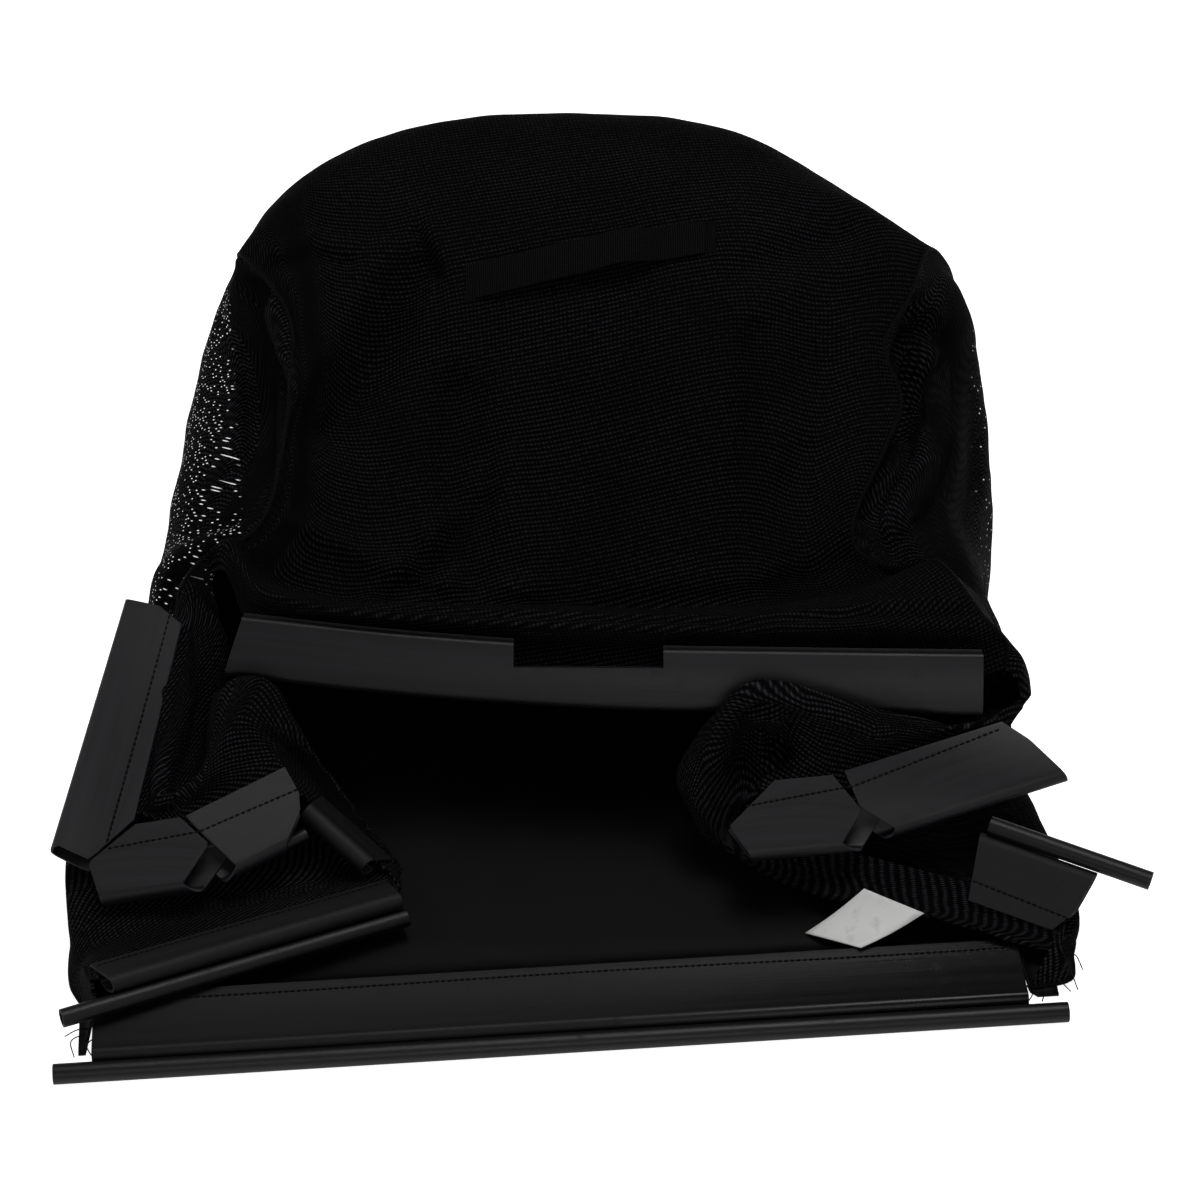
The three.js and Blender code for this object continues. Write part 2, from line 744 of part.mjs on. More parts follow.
const rightRows = [
  {
    seam: 0,
    straight: true,
    middle: [
      vec([212, -98, 92]), vec([214, -106, 80]), ...rightRim(rimTuck), vec([76, -140, 38]),
      vec([120, -158, 28]), rightBottom.under(1.08, rimTuck), rightBottom.under(-0.1, rimTuck),
    ],
    foot: [228, -222],
  },
  {
    seam: 0.02,
    straight: true,
    middle: [
      vec([214, -94, 98]), vec([218, -102, 84]), ...rightRim(-rimReach), vec([66, -142, 32]),
      vec([112, -164, 20]), rightBottom.under(1.08, -rimReach), rightBottom.under(-0.1, -rimReach),
    ],
    foot: [233, -216],
  },
  {
    seam: 0.05,
    middle: [
      [214, -88, 98], [218, -94, 80], [199, -114, 78], [134, -126, 82], [108, -128, 80],
      [86, -130, 68], [60, -150, 26], [100, -172, 16], [172, -199, 18], [224, -212, 10],
    ],
    foot: [237, -209],
  },
  {
    seam: 0.08,
    middle: [
      [212, -80, 94], [216, -86, 76], [194, -112, 72], [140, -123, 93], [98, -121, 105],
      [70, -119, 100], [47, -138, 42], [80, -160, 13], [168, -190, 14], [236, -203, 9],
    ],
    foot: [239, -200],
  },
  {
    seam: 0.11,
    middle: [
      [210, -72, 88], [213, -78, 68], [190, -98, 64], [136, -112, 67], [90, -112, 68], [50, -114, 66],
      [36, -124, 44], [64, -138, 12], [160, -166, 11], [240, -184, 13],
    ],
    foot: [238, -186],
  },
  {
    seam: 0.14,
    middle: [
      [208, -60, 82], [211, -64, 62], [196, -74, 54], [160, -80, 48], [130, -84, 42], [104, -90, 36],
      [92, -96, 26], [104, -104, 14], [180, -134, 12], [232, -158, 20],
    ],
    foot: [231, -160],
  },
  {
    seam: 0.1875,
    middle: [
      [192, -44, 104], [203, -46, 88], [208, -50, 68], [211, -56, 48], [213, -64, 32], [216, -74, 18],
    ],
    foot: [218, -84],
  },
  {
    seam: 0.29,
    middle: [
      [158, -12, 92], [176, -10, 96], [190, -12, 94], [200, -14, 82], [204, -18, 58], [206, -24, 28],
    ],
    foot: [206, -30],
  },
  {
    seam: 0.39,
    middle: [
      [146, 14, 98], [164, 16, 106], [180, 20, 108], [193, 24, 92], [202, 24, 80], [208, 20, 45],
    ],
    foot: [207, 14],
  },
  {
    seam: 0.445,
    middle: [
      [164, 58, 104], [180, 58, 112], [190, 60, 116], [199, 62, 98], [208, 66, 94], [213, 58, 48],
    ],
    foot: [210, 52],
  },
  {
    seam: 0.54,
    middle: [
      [160, 100, 118], [176, 102, 114], [190, 106, 124], [202, 104, 112], [210, 100, 98],
      [213, 94, 48],
    ],
    foot: [210, 90],
  },
  {
    seam: 0.625,
    middle: [
      [172, 128, 146], [184, 131, 136], [196, 132, 136], [205, 131, 124], [210, 128, 96],
      [209, 124, 48],
    ],
    foot: [206, 120],
  },
  {
    seam: 0.66,
    middle: [
      [182, 150, 166], [192, 152, 158], [201, 152, 142], [207, 150, 118], [210, 148, 88],
      [208, 145, 45],
    ],
    foot: [204, 142],
  },
];

function isBody(index, rows) {
  return index > 5 && index < rows.length;
}

// Grid of a side panel; its top and rear edges lie on the seam, its foot on the floor's edge
function sideGrid(rows, seam, columns, lines) {
  const full = rows.map((row, index) => {
    const place = isBody(index, rows) ? body : vec;
    const middle = row.straight ? row.middle : row.middle.map(place);
    return { straight: row.straight, points: [along(seam, row.seam), ...middle, onFloor(...row.foot)] };
  });
  const rear = steps(9).map((t) => along(seam, rearCorner + (1 - rearCorner) * t));
  full.push({ points: rear });
  const seams = [...rows.map((row) => new THREE.Vector3(row.seam, 0, 0)), new THREE.Vector3(rearCorner, 0, 0)];
  const grid = surface(full, columns, lines);
  grid.forEach((row, j) => {
    row[0].copy(along(seam, along(seams, lines[j]).x));
  });
  return grid;
}

const leftColumns = spanSteps([2, 2, 2, 2, 2, 2, 2, 3, 2]);
const rightColumns = spanSteps([2, 2, 2, 2, 2, 2, 2, 2, 2, 2, 2]);
const mouthSteps = [1, 2, 2, 2, 3, 3];
const leftLines = spanSteps([...mouthSteps, 2, 2, 2, 1, 1, 2]);
const rightLines = spanSteps([...mouthSteps, 2, 2, 2, 2, 2, 1, 2]);
const leftGrid = sideGrid(leftRows, leftSeam, leftColumns, leftLines);
const rightGrid = sideGrid(rightRows, rightSeam, rightColumns, rightLines);
const leftFoot = leftGrid.map((row) => row[row.length - 1].clone());
const rightFoot = rightGrid.map((row) => row[row.length - 1].clone());
const setBackBy = bindingRadius + clearance;
const floorStart = 0.25;
for (const grid of [leftGrid, rightGrid]) {
  setBack(grid, 'start', setBackBy);
  setBack(grid, 'end', setBackBy);
  setBack(grid, 'rear', setBackBy);
}

const topColumns = spanSteps([2, 2, 2, 2, 2, 2, 2, 2]);
const topLines = spanSteps([1, 2, 2, 2, 2, 2, 2, 1, 1, 1, 2, 2, 2, 1, 1, 1]);
const topGrid = surface(topRows, topColumns, topLines);
setBack(topGrid, 'start', setBackBy);
setBack(topGrid, 'end', setBackBy);
setBack(topGrid, 'rear', setBackBy);

const floorColumns = steps(8);

// Vinyl floor: its front edge lies under the front clip's flange, the rest is flat
function floorRow(t) {
  const left = along(leftFoot, t);
  const right = along(rightFoot, t);
  const share = Math.max(0, (t - 0.4) / 0.6) ** 1.4;
  return floorColumns.map((a) => {
    const rear = along(rearLine, a).sub(mix(rearLine[0], rearLine[rearLine.length - 1], a));
    return mix(left, right, a).addScaledVector(rear, share).setZ(vinylThickness / 2);
  });
}

const frontPlaces = floorColumns.map((t) => 0.01 + 0.98 * t);
const frontRise = [[rimTuck + 4, 1], [1, 1], [-3, 0.75], [-8, 0.15], [-11, 0]];
const floorGrid = [
  ...frontRise.map(([depth, share]) => frontPlaces.map((t) => {
    const point = frontUnder(t, depth);
    return point.setZ(vinylThickness / 2 + (point.z - vinylThickness / 2) * share);
  })),
  ...steps(11).map((t) => floorRow(floorStart + (1 - floorStart) * t)),
];
setBack(floorGrid, 'start', setBackBy);
setBack(floorGrid, 'end', setBackBy);
setBack(floorGrid, 'rear', setBackBy);

// Webbing strap on the top panel, flat at its ends and raised between them
function topPoint(a, b) {
  return along(topRows.map((row) => along(row.points, a)), b);
}

function topNormal(a, b) {
  const alongRow = topPoint(a + 0.01, b).sub(topPoint(a - 0.01, b));
  return alongRow.cross(topPoint(a, b + 0.005).sub(topPoint(a, b - 0.005))).normalize();
}

const strapStart = [0.516, 0.58];
const strapEnd = [0.726, 0.621];
const strapGrid = [-0.5, -0.17, 0.17, 0.5].map((side) => steps(16).map((t) => {
  const a = strapStart[0] + (strapEnd[0] - strapStart[0]) * t;
  const b = strapStart[1] + (strapEnd[1] - strapStart[1]) * t;
  const rate = topPoint(a, b + 0.01).distanceTo(topPoint(a, b - 0.01)) / 0.02;
  const place = b + (side * strapWidth) / rate;
  const lift = strapRise * Math.sin(Math.PI * t) ** 1.5;
  const gap = (fabricThickness + strapThickness) / 2 + clearance + strapSeat;
  return topPoint(a, place).addScaledVector(topNormal(a, place), gap + lift);
}));

// Bare label, from its sewn end on the side's cloth down to the floor and the front clip
const labelCorners = [labelSewn, labelFree].map((pair) => pair.map(vec));
const labelGrid = steps(2).map((w) => steps(6).map((t) => {
  const [sewn, free] = labelCorners.map(([left, right]) => mix(left, right, w));
  const point = mix(sewn, free, t);
  point.z -= labelSag * Math.sin(Math.PI * t);
  return point;
}));

const root = new THREE.Group();
root.name = 'mower_grass_bag';

// The drawing's origin moved to the middle of the whole part
const originShift = [5.2, 3.2, 0];

function add(name, geometry, color, roughness) {
  geometry.translate(...originShift);
  const material = new THREE.MeshStandardMaterial({ color, roughness, metalness: 0 });
  const mesh = new THREE.Mesh(geometry, material);
  mesh.name = name;
  root.add(mesh);
}

const knitColor = 0x0b0b0c;
const plasticColor = 0x17171a;
const vinylColor = 0x0c0c0e;
const bindingColor = 0x101012;

// Seam bindings, and the same lines a little thicker to trim the panels with
const seams = {
  left_top_seam: [leftSeam, 0, 0.985],
  right_top_seam: [rightSeam, 0, 0.985],
  left_floor_seam: [leftFoot, 0, 0.99],
  right_floor_seam: [rightFoot, 0, 0.99],
  rear_floor_seam: [rearLine, 0.01, 0.99],
};

function seamCord([line, from, to], radius) {
  const points = steps(seamSteps).map((t) => along(line, from + (to - from) * t));
  return cord(points, radius, bindingSides);
}

const seamTools = Object.values(seams).map((seam) => toManifold(seamCord(seam, setBackBy)));
const besideTop = toManifold(sheet(topGrid, fabricThickness + 2 * clearance));

// A panel without what its neighbours take; crumbs left behind by the cut are dropped
function trimmed(grid, thickness, tools) {
  const whole = tools.reduce((left, tool) => left.subtract(tool), toManifold(sheet(grid, thickness)));
  const pieces = whole.decompose().sort((a, b) => b.volume() - a.volume());
  return fromManifold(pieces[0]);
}

add('top_rear_panel', trimmed(topGrid, fabricThickness, seamTools), knitColor, 0.85);
const topBody = toManifold(sheet(topGrid, fabricThickness));
const sideTools = [...seamTools, besideTop, topBody];
add('left_side_panel', trimmed(leftGrid, fabricThickness, sideTools), knitColor, 0.85);
add('right_side_panel', trimmed(rightGrid, fabricThickness, sideTools), knitColor, 0.85);
add('floor_panel', trimmed(floorGrid, vinylThickness, seamTools), vinylColor, 0.5);
Object.entries(seams).forEach(([name, seam]) => {
  add(name, seamCord(seam, bindingRadius), bindingColor, 0.6);
});

const clips = {
  left_upper_clip: leftUpper,
  left_corner_clip: leftCorner,
  left_lower_clip: leftLower,
  left_fold_clip: leftFold,
  left_bottom_clip: leftBottom,
  right_upper_clip: rightUpper,
  right_corner_clip: rightCorner,
  right_bottom_clip: rightBottom,
};
add('top_clip', fromManifold(topClipBody), plasticColor, 0.42);
Object.entries(clips).forEach(([name, clip]) => add(name, clip.geometry, plasticColor, 0.42));
add('front_clip', sweep(frontSection, frontStations), plasticColor, 0.42);
add('front_tube', tube(frontTubeFrom, frontTubeTo, frontTubeRadius), plasticColor, 0.42);

const leftTubeEnds = [-0.17, 1.02].map((t) => leftBottom.beside(t, sideTubeRadius, -62));
const innerTubeEnds = [0.42, 0.92].map((t) => leftLower.beside(t, innerTubeRadius, -95));
const rightTubeEnds = [-0.85, 1.06].map((t) => rightBottom.beside(t, sideTubeRadius, 15));
add('left_bottom_tube', tube(...leftTubeEnds, sideTubeRadius), plasticColor, 0.42);
add('left_inner_tube', tube(...innerTubeEnds, innerTubeRadius), plasticColor, 0.42);
add('right_bottom_tube', tube(...rightTubeEnds, sideTubeRadius), plasticColor, 0.42);

add('handle_strap', sheet(strapGrid, strapThickness), 0x121214, 0.7);
add('blank_label', sheet(labelGrid, labelThickness), 0xe9e9e6, 0.6);

export default root;
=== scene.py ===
"""Mower grass collection bag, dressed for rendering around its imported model."""
import math
from functools import cache

import bmesh
import bpy
import numpy as np
from mathutils import Matrix, Vector, noise


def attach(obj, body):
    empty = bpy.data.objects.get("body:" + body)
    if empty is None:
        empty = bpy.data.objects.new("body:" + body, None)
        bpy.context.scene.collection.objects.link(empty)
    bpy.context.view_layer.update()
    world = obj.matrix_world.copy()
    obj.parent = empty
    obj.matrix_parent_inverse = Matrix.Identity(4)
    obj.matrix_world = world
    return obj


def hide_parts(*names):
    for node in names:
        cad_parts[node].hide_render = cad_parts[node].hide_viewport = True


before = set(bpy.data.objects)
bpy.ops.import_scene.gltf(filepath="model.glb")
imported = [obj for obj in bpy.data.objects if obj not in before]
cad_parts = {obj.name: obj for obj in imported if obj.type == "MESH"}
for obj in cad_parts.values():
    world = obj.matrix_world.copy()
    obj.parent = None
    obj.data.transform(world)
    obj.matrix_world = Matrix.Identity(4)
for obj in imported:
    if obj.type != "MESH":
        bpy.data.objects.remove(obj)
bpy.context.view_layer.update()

bl_info = {
    "name": "Mower grass bag",
    "version": (1, 0, 0),
    "blender": (4, 5, 0),
    "location": "View3D > Sidebar > Grass bag",
    "description": "Builds a knitted grass collection bag with clip strips, tubes, strap and seams",
    "category": "Object",
}

MM = 0.001
WELD = 1e-7
ORIGIN = np.array([5.2, 3.2, 0.0])
UP = np.array([0, 0, 1.0])

# Points in millimetres, drawn before ORIGIN is added. Rows run from the left seam to the
# right seam, mouth first; a side's rows run from its top seam round the folds to the floor.
TOP_ROWS = [
    [
        (-219, -33, 113), (-205, -22, 118), (-182, -56, 117), (-146, -69, 115), (-83, -75, 113),
        (-5, -79, 112), (78, -82, 113), (140, -82, 118), (194, -81, 120),
    ],
    [
        (-210, -20, 112), (-202, -14, 115), (-183, -38, 107), (-147, -51, 104), (-84, -51, 101),
        (-5, -53, 100), (79, -58, 105), (131, -56, 114), (173, -45, 126),
    ],
    [
        (-201, -4, 104), (-194, -6, 103), (-183, -16, 90), (-150, -22, 80), (-86, -23, 76),
        (-5, -22, 74), (81, -24, 80), (124, -24, 86), (158, -18, 98),
    ],
    [
        (-193, 1, 106), (-186, 0, 103), (-172, -2, 98), (-145, -6, 88), (-86, -9, 82),
        (-5, -8, 80), (70, -11, 86), (108, -10, 92), (134, -5, 99),
    ],
    [
        (-184, 15, 111), (-175, 19, 110), (-162, 23, 108), (-135, 26, 102), (-86, 24, 100),
        (-5, 26, 102), (71, 23, 106), (109, 19, 108), (131, 6, 108),
    ],
    [
        (-177, 47, 128), (-171, 54, 130), (-163, 60, 130), (-142, 65, 126), (-87, 61, 122),
        (-5, 60, 130), (71, 55, 134), (115, 56, 130), (150, 52, 124),
    ],
    [
        (-174, 77, 144), (-168, 88, 145), (-159, 95, 144), (-137, 104, 144), (-87, 94, 148),
        (-5, 86, 158), (71, 84, 160), (121, 89, 152), (160, 81, 134),
    ],
    [
        (-175, 115, 160), (-170, 124, 164), (-160, 129, 166), (-132, 127, 168), (-82, 119, 174),
        (-5, 111, 180), (66, 111, 180), (121, 113, 172), (151, 105, 154),
    ],
    [
        (-186, 134, 173), (-178, 146, 177), (-166, 155, 181), (-132, 155, 188), (-82, 149, 196),
        (-5, 144, 200), (66, 143, 198), (127, 146, 188), (165, 126, 170),
    ],
    [
        (-204, 154, 179), (-192, 172, 186), (-173, 187, 192), (-134, 202, 202), (-84, 208, 208),
        (-5, 202, 212), (68, 197, 208), (123, 181, 200), (177, 157, 180),
    ],
    [
        (-207, 172, 158), (-197, 192, 172), (-180, 208, 184), (-140, 234, 197), (-82, 248, 204),
        (-5, 252, 205), (72, 240, 200), (130, 206, 186), (190, 172, 158),
    ],
    [
        (-208, 190, 122), (-200, 211, 138), (-184, 228, 150), (-142, 256, 158), (-82, 270, 162),
        (-5, 276, 164), (76, 266, 160), (137, 234, 150), (198, 190, 122),
    ],
    [
        (-206, 205, 80), (-198, 223, 88), (-182, 240, 96), (-142, 266, 102), (-80, 282, 104),
        (-5, 288, 106), (77, 280, 104), (140, 250, 100), (202, 205, 80),
    ],
    [
        (-201, 214, 38), (-192, 230, 40), (-178, 243, 42), (-138, 266, 44), (-80, 281, 46),
        (-5, 287, 47), (77, 279, 46), (140, 252, 44), (202, 213, 38),
    ],
]
REAR_ROW = [
    (-196, 218, 2.5), (-188, 230, 2.5), (-174, 241, 2.5), (-136, 262, 2.5), (-78, 277, 2.5),
    (-5, 282, 2.5), (76, 275, 2.5), (138, 251, 2.5), (198, 216, 2.5),
]

LEFT_ROWS = [
    (0.05, [
        (-214, -52, 88), (-232, -144, 52), (-212, -140, 58), (-180, -114, 62), (-158, -112, 42),
        (-120, -146, 15), (-124, -160, 12), (-266, -214, 10),
    ], (-273, -232)),
    (0.1, [
        (-204, -50, 72), (-218, -130, 46), (-206, -126, 66), (-188, -108, 78), (-162, -108, 58),
        (-128, -138, 14), (-128, -152, 8), (-272, -198, 11),
    ], (-276, -215)),
    (0.14, [
        (-204, -54, 66), (-206, -98, 74), (-194, -98, 86), (-182, -92, 82), (-166, -100, 56),
        (-136, -128, 12), (-138, -144, 8), (-278, -180, 13),
    ], (-276, -198)),
    (0.18, [
        (-214, -34, 60), (-208, -62, 58), (-194, -68, 60), (-180, -70, 48), (-164, -84, 30),
        (-148, -106, 10), (-160, -120, 8), (-281, -150, 18),
    ], (-273, -178)),
    (0.24, [
        (-232, -14, 84), (-244, -30, 62), (-240, -42, 46), (-230, -48, 34), (-220, -58, 24),
        (-208, -76, 12), (-220, -90, 10), (-276, -112, 24),
    ], (-266, -130)),
    (0.3125, [
        (-212, 0, 104), (-232, -2, 96), (-245, -6, 80), (-250, -10, 60), (-251, -16, 42),
        (-251, -22, 30), (-252, -30, 22), (-251, -40, 14),
    ], (-247, -50)),
    (0.4, [
        (-196, 22, 100), (-214, 20, 96), (-232, 18, 92), (-243, 14, 76), (-247, 10, 56),
        (-247, 6, 40), (-246, 4, 26), (-244, 2, 14),
    ], (-241, 0)),
    (0.5, [
        (-184, 76, 120), (-196, 74, 108), (-214, 72, 114), (-232, 70, 104), (-240, 68, 80),
        (-242, 66, 56), (-240, 64, 36), (-237, 62, 18),
    ], (-233, 60)),
    (0.57, [
        (-186, 116, 140), (-198, 116, 122), (-212, 115, 124), (-227, 113, 116), (-236, 110, 92),
        (-238, 108, 62), (-236, 106, 38), (-232, 104, 18),
    ], (-228, 102)),
    (0.65, [
        (-206, 152, 162), (-214, 155, 150), (-222, 153, 135), (-228, 150, 115), (-232, 148, 90),
        (-232, 146, 62), (-229, 144, 38), (-225, 142, 18),
    ], (-221, 140)),
]

RIGHT_ROWS = [
    (0.05, [
        (214, -88, 98), (218, -94, 80), (199, -114, 78), (134, -126, 82), (108, -128, 80),
        (86, -130, 68), (60, -150, 26), (100, -172, 16), (172, -199, 18), (224, -212, 10),
    ], (237, -209)),
    (0.08, [
        (212, -80, 94), (216, -86, 76), (194, -112, 72), (140, -123, 93), (98, -121, 105),
        (70, -119, 100), (47, -138, 42), (80, -160, 13), (168, -190, 14), (236, -203, 9),
    ], (239, -200)),
    (0.11, [
        (210, -72, 88), (213, -78, 68), (190, -98, 64), (136, -112, 67), (90, -112, 68),
        (50, -114, 66), (36, -124, 44), (64, -138, 12), (160, -166, 11), (240, -184, 13),
    ], (238, -186)),
    (0.14, [
        (208, -60, 82), (211, -64, 62), (196, -74, 54), (160, -80, 48), (130, -84, 42),
        (104, -90, 36), (92, -96, 26), (104, -104, 14), (180, -134, 12), (232, -158, 20),
    ], (231, -160)),
    (0.1875, [
        (192, -44, 104), (203, -46, 88), (208, -50, 68), (211, -56, 48), (213, -64, 32),
        (216, -74, 18),
    ], (218, -84)),
    (0.29, [
        (158, -12, 92), (176, -10, 96), (190, -12, 94), (200, -14, 82), (204, -18, 58),
        (206, -24, 28),
    ], (206, -30)),
    (0.39, [
        (146, 14, 98), (164, 16, 106), (180, 20, 108), (193, 24, 92), (202, 24, 80), (208, 20, 45),
    ], (207, 14)),
    (0.445, [
        (164, 58, 104), (180, 58, 112), (190, 60, 116), (199, 62, 98), (208, 66, 94),
        (213, 58, 48),
    ], (210, 52)),
    (0.54, [
        (160, 100, 118), (176, 102, 114), (190, 106, 124), (202, 104, 112), (210, 100, 98),
        (213, 94, 48),
    ], (210, 90)),
    (0.625, [
        (172, 128, 146), (184, 131, 136), (196, 132, 136), (205, 131, 124), (210, 128, 96),
        (209, 124, 48),
    ], (206, 120)),
    (0.66, [
        (182, 150, 166), (192, 152, 158), (201, 152, 142), (207, 150, 118), (210, 148, 88),
        (208, 145, 45),
    ], (204, 142)),
]

TOP_LINE = [(-202, -82, 81), (-104, -94, 78), (0, -103, 77), (98, -108, 79), (193, -113, 82)]
TOP_UP = np.array([0, 0.62, 0.785]) / math.hypot(0.62, 0.785)
TOP_FRONT = np.array([0, -0.785, 0.62]) / math.hypot(0.62, 0.785)
TOP_RADIUS = 4.0
TOP_HEIGHT = 31.0
TOP_BACK = 25.0
HEM_ENDS = [
    ([(-229, -38, 91), (-206, -30, 108)], (206, -92, 94)),
    ([(-228, -36, 98), (-207, -26, 113)], (206, -86, 107)),
]
HEM_PLACES = [0.05, 0.15, 0.3, 0.5, 0.72, 0.93]
FRONT_TUBE = [(-276, -291, 5.2), (231, -250, 5.2)]
FRONT_TUBE_RADIUS = 5.2
FRONT_SAG = 1.1
FRONT_STITCH_DEPTH = 5.5
FRONT_CLIP = (-257, 212)
FRONT_WIDTH = 41.0
FRONT_RADIUS = 4.4
WALL = 1.6
CLEARANCE = 0.3
CLOTH_HALF = 1.1
CLIP_BACK = 19.0
CLIP_CURL = 1.9
FLOOR_LINE = 2.5
# Share of the top seam at which the sides end and the rear panel's corner begins
REAR_CORNER = 11 / 16

# Creases pressed into the cloth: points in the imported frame, half width and rise in mm;
# a rise above 0 comes towards the front, one below 0 sinks in
TOP_CREASES = [
    ([(-182, 156, 184), (-161, 164, 186), (-138, 155, 186)], 6, 3.5),
    ([(-178, 150, 178), (-160, 156, 180), (-140, 148, 180)], 6, -4.0),
    ([(-101, 160, 195), (-95, 146, 189), (-89, 135, 182)], 3.5, -5.0),
    ([(-93, 160, 197), (-88, 146, 191), (-82, 135, 184)], 4, 2.0),
    ([(-98, 140, 180), (-108, 127, 171), (-121, 109, 150), (-134, 86, 137), (-146, 66, 131)],
      12, -12.0),
    ([(-120, 150, 184), (-138, 128, 166), (-152, 104, 150), (-168, 80, 140)], 9, 5.5),
    ([(-79, 85, 140), (-81, 34, 105), (-68, -8, 82)], 11, -7.0),
    ([(-46, 85, 140), (-46, 33, 105), (-36, -5, 82)], 13, 4.5),
    ([(76, -4, 90), (92, 18, 104), (112, 50, 125)], 10, -4.0),
    ([(128, 112, 170), (142, 78, 139), (136, 30, 115)], 10, 4.0),
    ([(-165, 14, 106), (-135, 6, 93), (-95, -8, 84), (-40, -14, 80)], 7, 5.5),
    ([(-150, -6, 96), (-120, -16, 88), (-80, -26, 82)], 6, -5.5),
    ([(-100, 10, 92), (-92, -10, 82), (-80, -24, 80)], 6, -4.0),
    ([(-157, -61, 109), (-52, -64, 111), (52, -67, 111), (187, -69, 124)], 3, 2.2),
    ([(-157, -66, 106), (-52, -69, 108), (52, -72, 109), (187, -75, 120)], 4, -3.5),
    ([(82, 109, 176), (110, 123, 180), (140, 140, 184), (158, 150, 184)], 11, 5.0),
    ([(76, 128, 190), (104, 142, 192), (136, 158, 194)], 9, -4.0),
    ([(85, 101, 170), (83, 71, 145), (80, 41, 120), (79, 19, 103)], 9, -5.5),
    ([(0, -21, 77), (32, -18, 77), (65, -17, 80), (97, -14, 86), (118, -10, 91), (132, -5, 97)],
      8, -5.0),
    ([(-110, -20, 92), (-97, -7, 83), (-81, 7, 90), (-70, 24, 99), (-64, 33, 105)], 7, -7.0),
    ([(-122, -16, 80), (-108, -1, 87), (-92, 14, 94), (-80, 28, 102)], 7, 4.0),
    ([(-89, 131, 179), (-88, 119, 169), (-88, 107, 158)], 4, -3.0),
    ([(-62, 57, 121), (-61, 33, 105), (-63, 14, 94)], 5, -3.0),
]
LEFT_CREASES = [
    ([(-187, 139, 168), (-191, 135, 150), (-185, 122, 139), (-179, 98, 133), (-173, 72, 134)],
      6, -9.0),
    ([(-182, 131, 160), (-177, 121, 154), (-173, 107, 151)], 8, 6.5),
    ([(-200, 158, 173), (-205, 148, 145), (-203, 115, 123), (-198, 73, 110), (-191, 16, 106)],
      5, 3.0),
    ([(-193, 145, 164), (-193, 131, 139), (-187, 100, 121), (-186, 69, 111), (-186, 22, 108)],
      8, -9.0),
    ([(-216, -60, 88), (-211, -71, 77), (-208, -81, 65), (-210, -101, 54), (-216, -126, 50)],
      6, -5.0),
    ([(-187, -96, 86), (-172, -93, 76), (-164, -100, 60)], 12, 4.0),
    ([(-226, -84, 74), (-227, -104, 65), (-228, -125, 56), (-228, -142, 51)], 4, 3.0),
]
RIGHT_CREASES = [
    ([(175, 130, 157), (166, 118, 156), (161, 110, 152), (169, 119, 142), (181, 133, 145)],
      9, -17.0),
    ([(181, 129, 138), (187, 116, 123), (186, 90, 115), (179, 63, 109), (166, 34, 105),
      (157, 15, 100)], 9, 9.0),
    ([(178, 127, 139), (174, 118, 129), (170, 105, 118), (169, 86, 111), (158, 53, 117),
      (149, 34, 112), (143, 15, 107)], 5, -11.0),
    ([(187, 135, 142), (192, 130, 133), (194, 112, 126), (194, 91, 121), (191, 70, 117),
      (187, 48, 115), (182, 30, 111), (173, 18, 108), (162, 10, 100)], 5, -6.0),
    ([(124, -16, 88), (145, -16, 93), (163, -20, 103), (183, -55, 126), (192, -72, 123),
      (202, -82, 119)], 4, 3.0),
    ([(58, -127, 66), (63, -122, 82), (71, -117, 95), (83, -116, 104), (98, -119, 102),
      (118, -123, 94), (145, -123, 80)], 5, 5.0),
    ([(74, -131, 61), (76, -126, 75), (80, -121, 87), (88, -122, 88), (92, -128, 70)], 8, -20.0),
    ([(52, -135, 44), (56, -139, 26), (61, -134, 6)], 6, 3.0),
]
# From the bag towards the photograph's camera
VIEW = np.array([0.0, -0.743, 0.669])


def spline(points, places):
    """Smooth line through points, read at places from 0 to 1; points may be rows of points."""
    points = np.asarray(points, float)
    count = len(points)
    place = np.clip(np.atleast_1d(places), 0, 1) * (count - 1)
    index = np.minimum(place.astype(int), count - 2)
    w = (place - index).reshape((-1,) + (1,) * (points.ndim - 1))
    ends = [2 * points[:1] - points[1:2], points, 2 * points[-1:] - points[-2:-1]]
    padded = np.concatenate(ends)
    p0, p1, p2, p3 = (padded[index + k] for k in range(4))

    def gap(a, b):
        return np.maximum(((a - b) ** 2).sum(-1, keepdims=True) ** 0.25, 1e-4)

    d0, d1, d2 = gap(p0, p1), gap(p1, p2), gap(p2, p3)
    m1 = ((p1 - p0) / d0 - (p2 - p0) / (d0 + d1) + (p2 - p1) / d1) * d1
    m2 = ((p2 - p1) / d1 - (p3 - p1) / (d1 + d2) + (p3 - p2) / d2) * d1
    cubic = (2 * p1 - 2 * p2 + m1 + m2) * w**3
    return p1 + m1 * w + (-3 * p1 + 3 * p2 - 2 * m1 - m2) * w**2 + cubic


def polyline(points, places):
    """Straight pieces through points, read at places from 0 to 1."""
    points = np.asarray(points, float)
    places = np.clip(np.atleast_1d(places), 0, 1)
    keys = np.linspace(0, 1, len(points))
    return np.stack([np.interp(places, keys, points[:, k]) for k in range(3)], axis=1)


def unit(vector):
    """The same direction with length 1."""
    return vector / np.linalg.norm(vector)


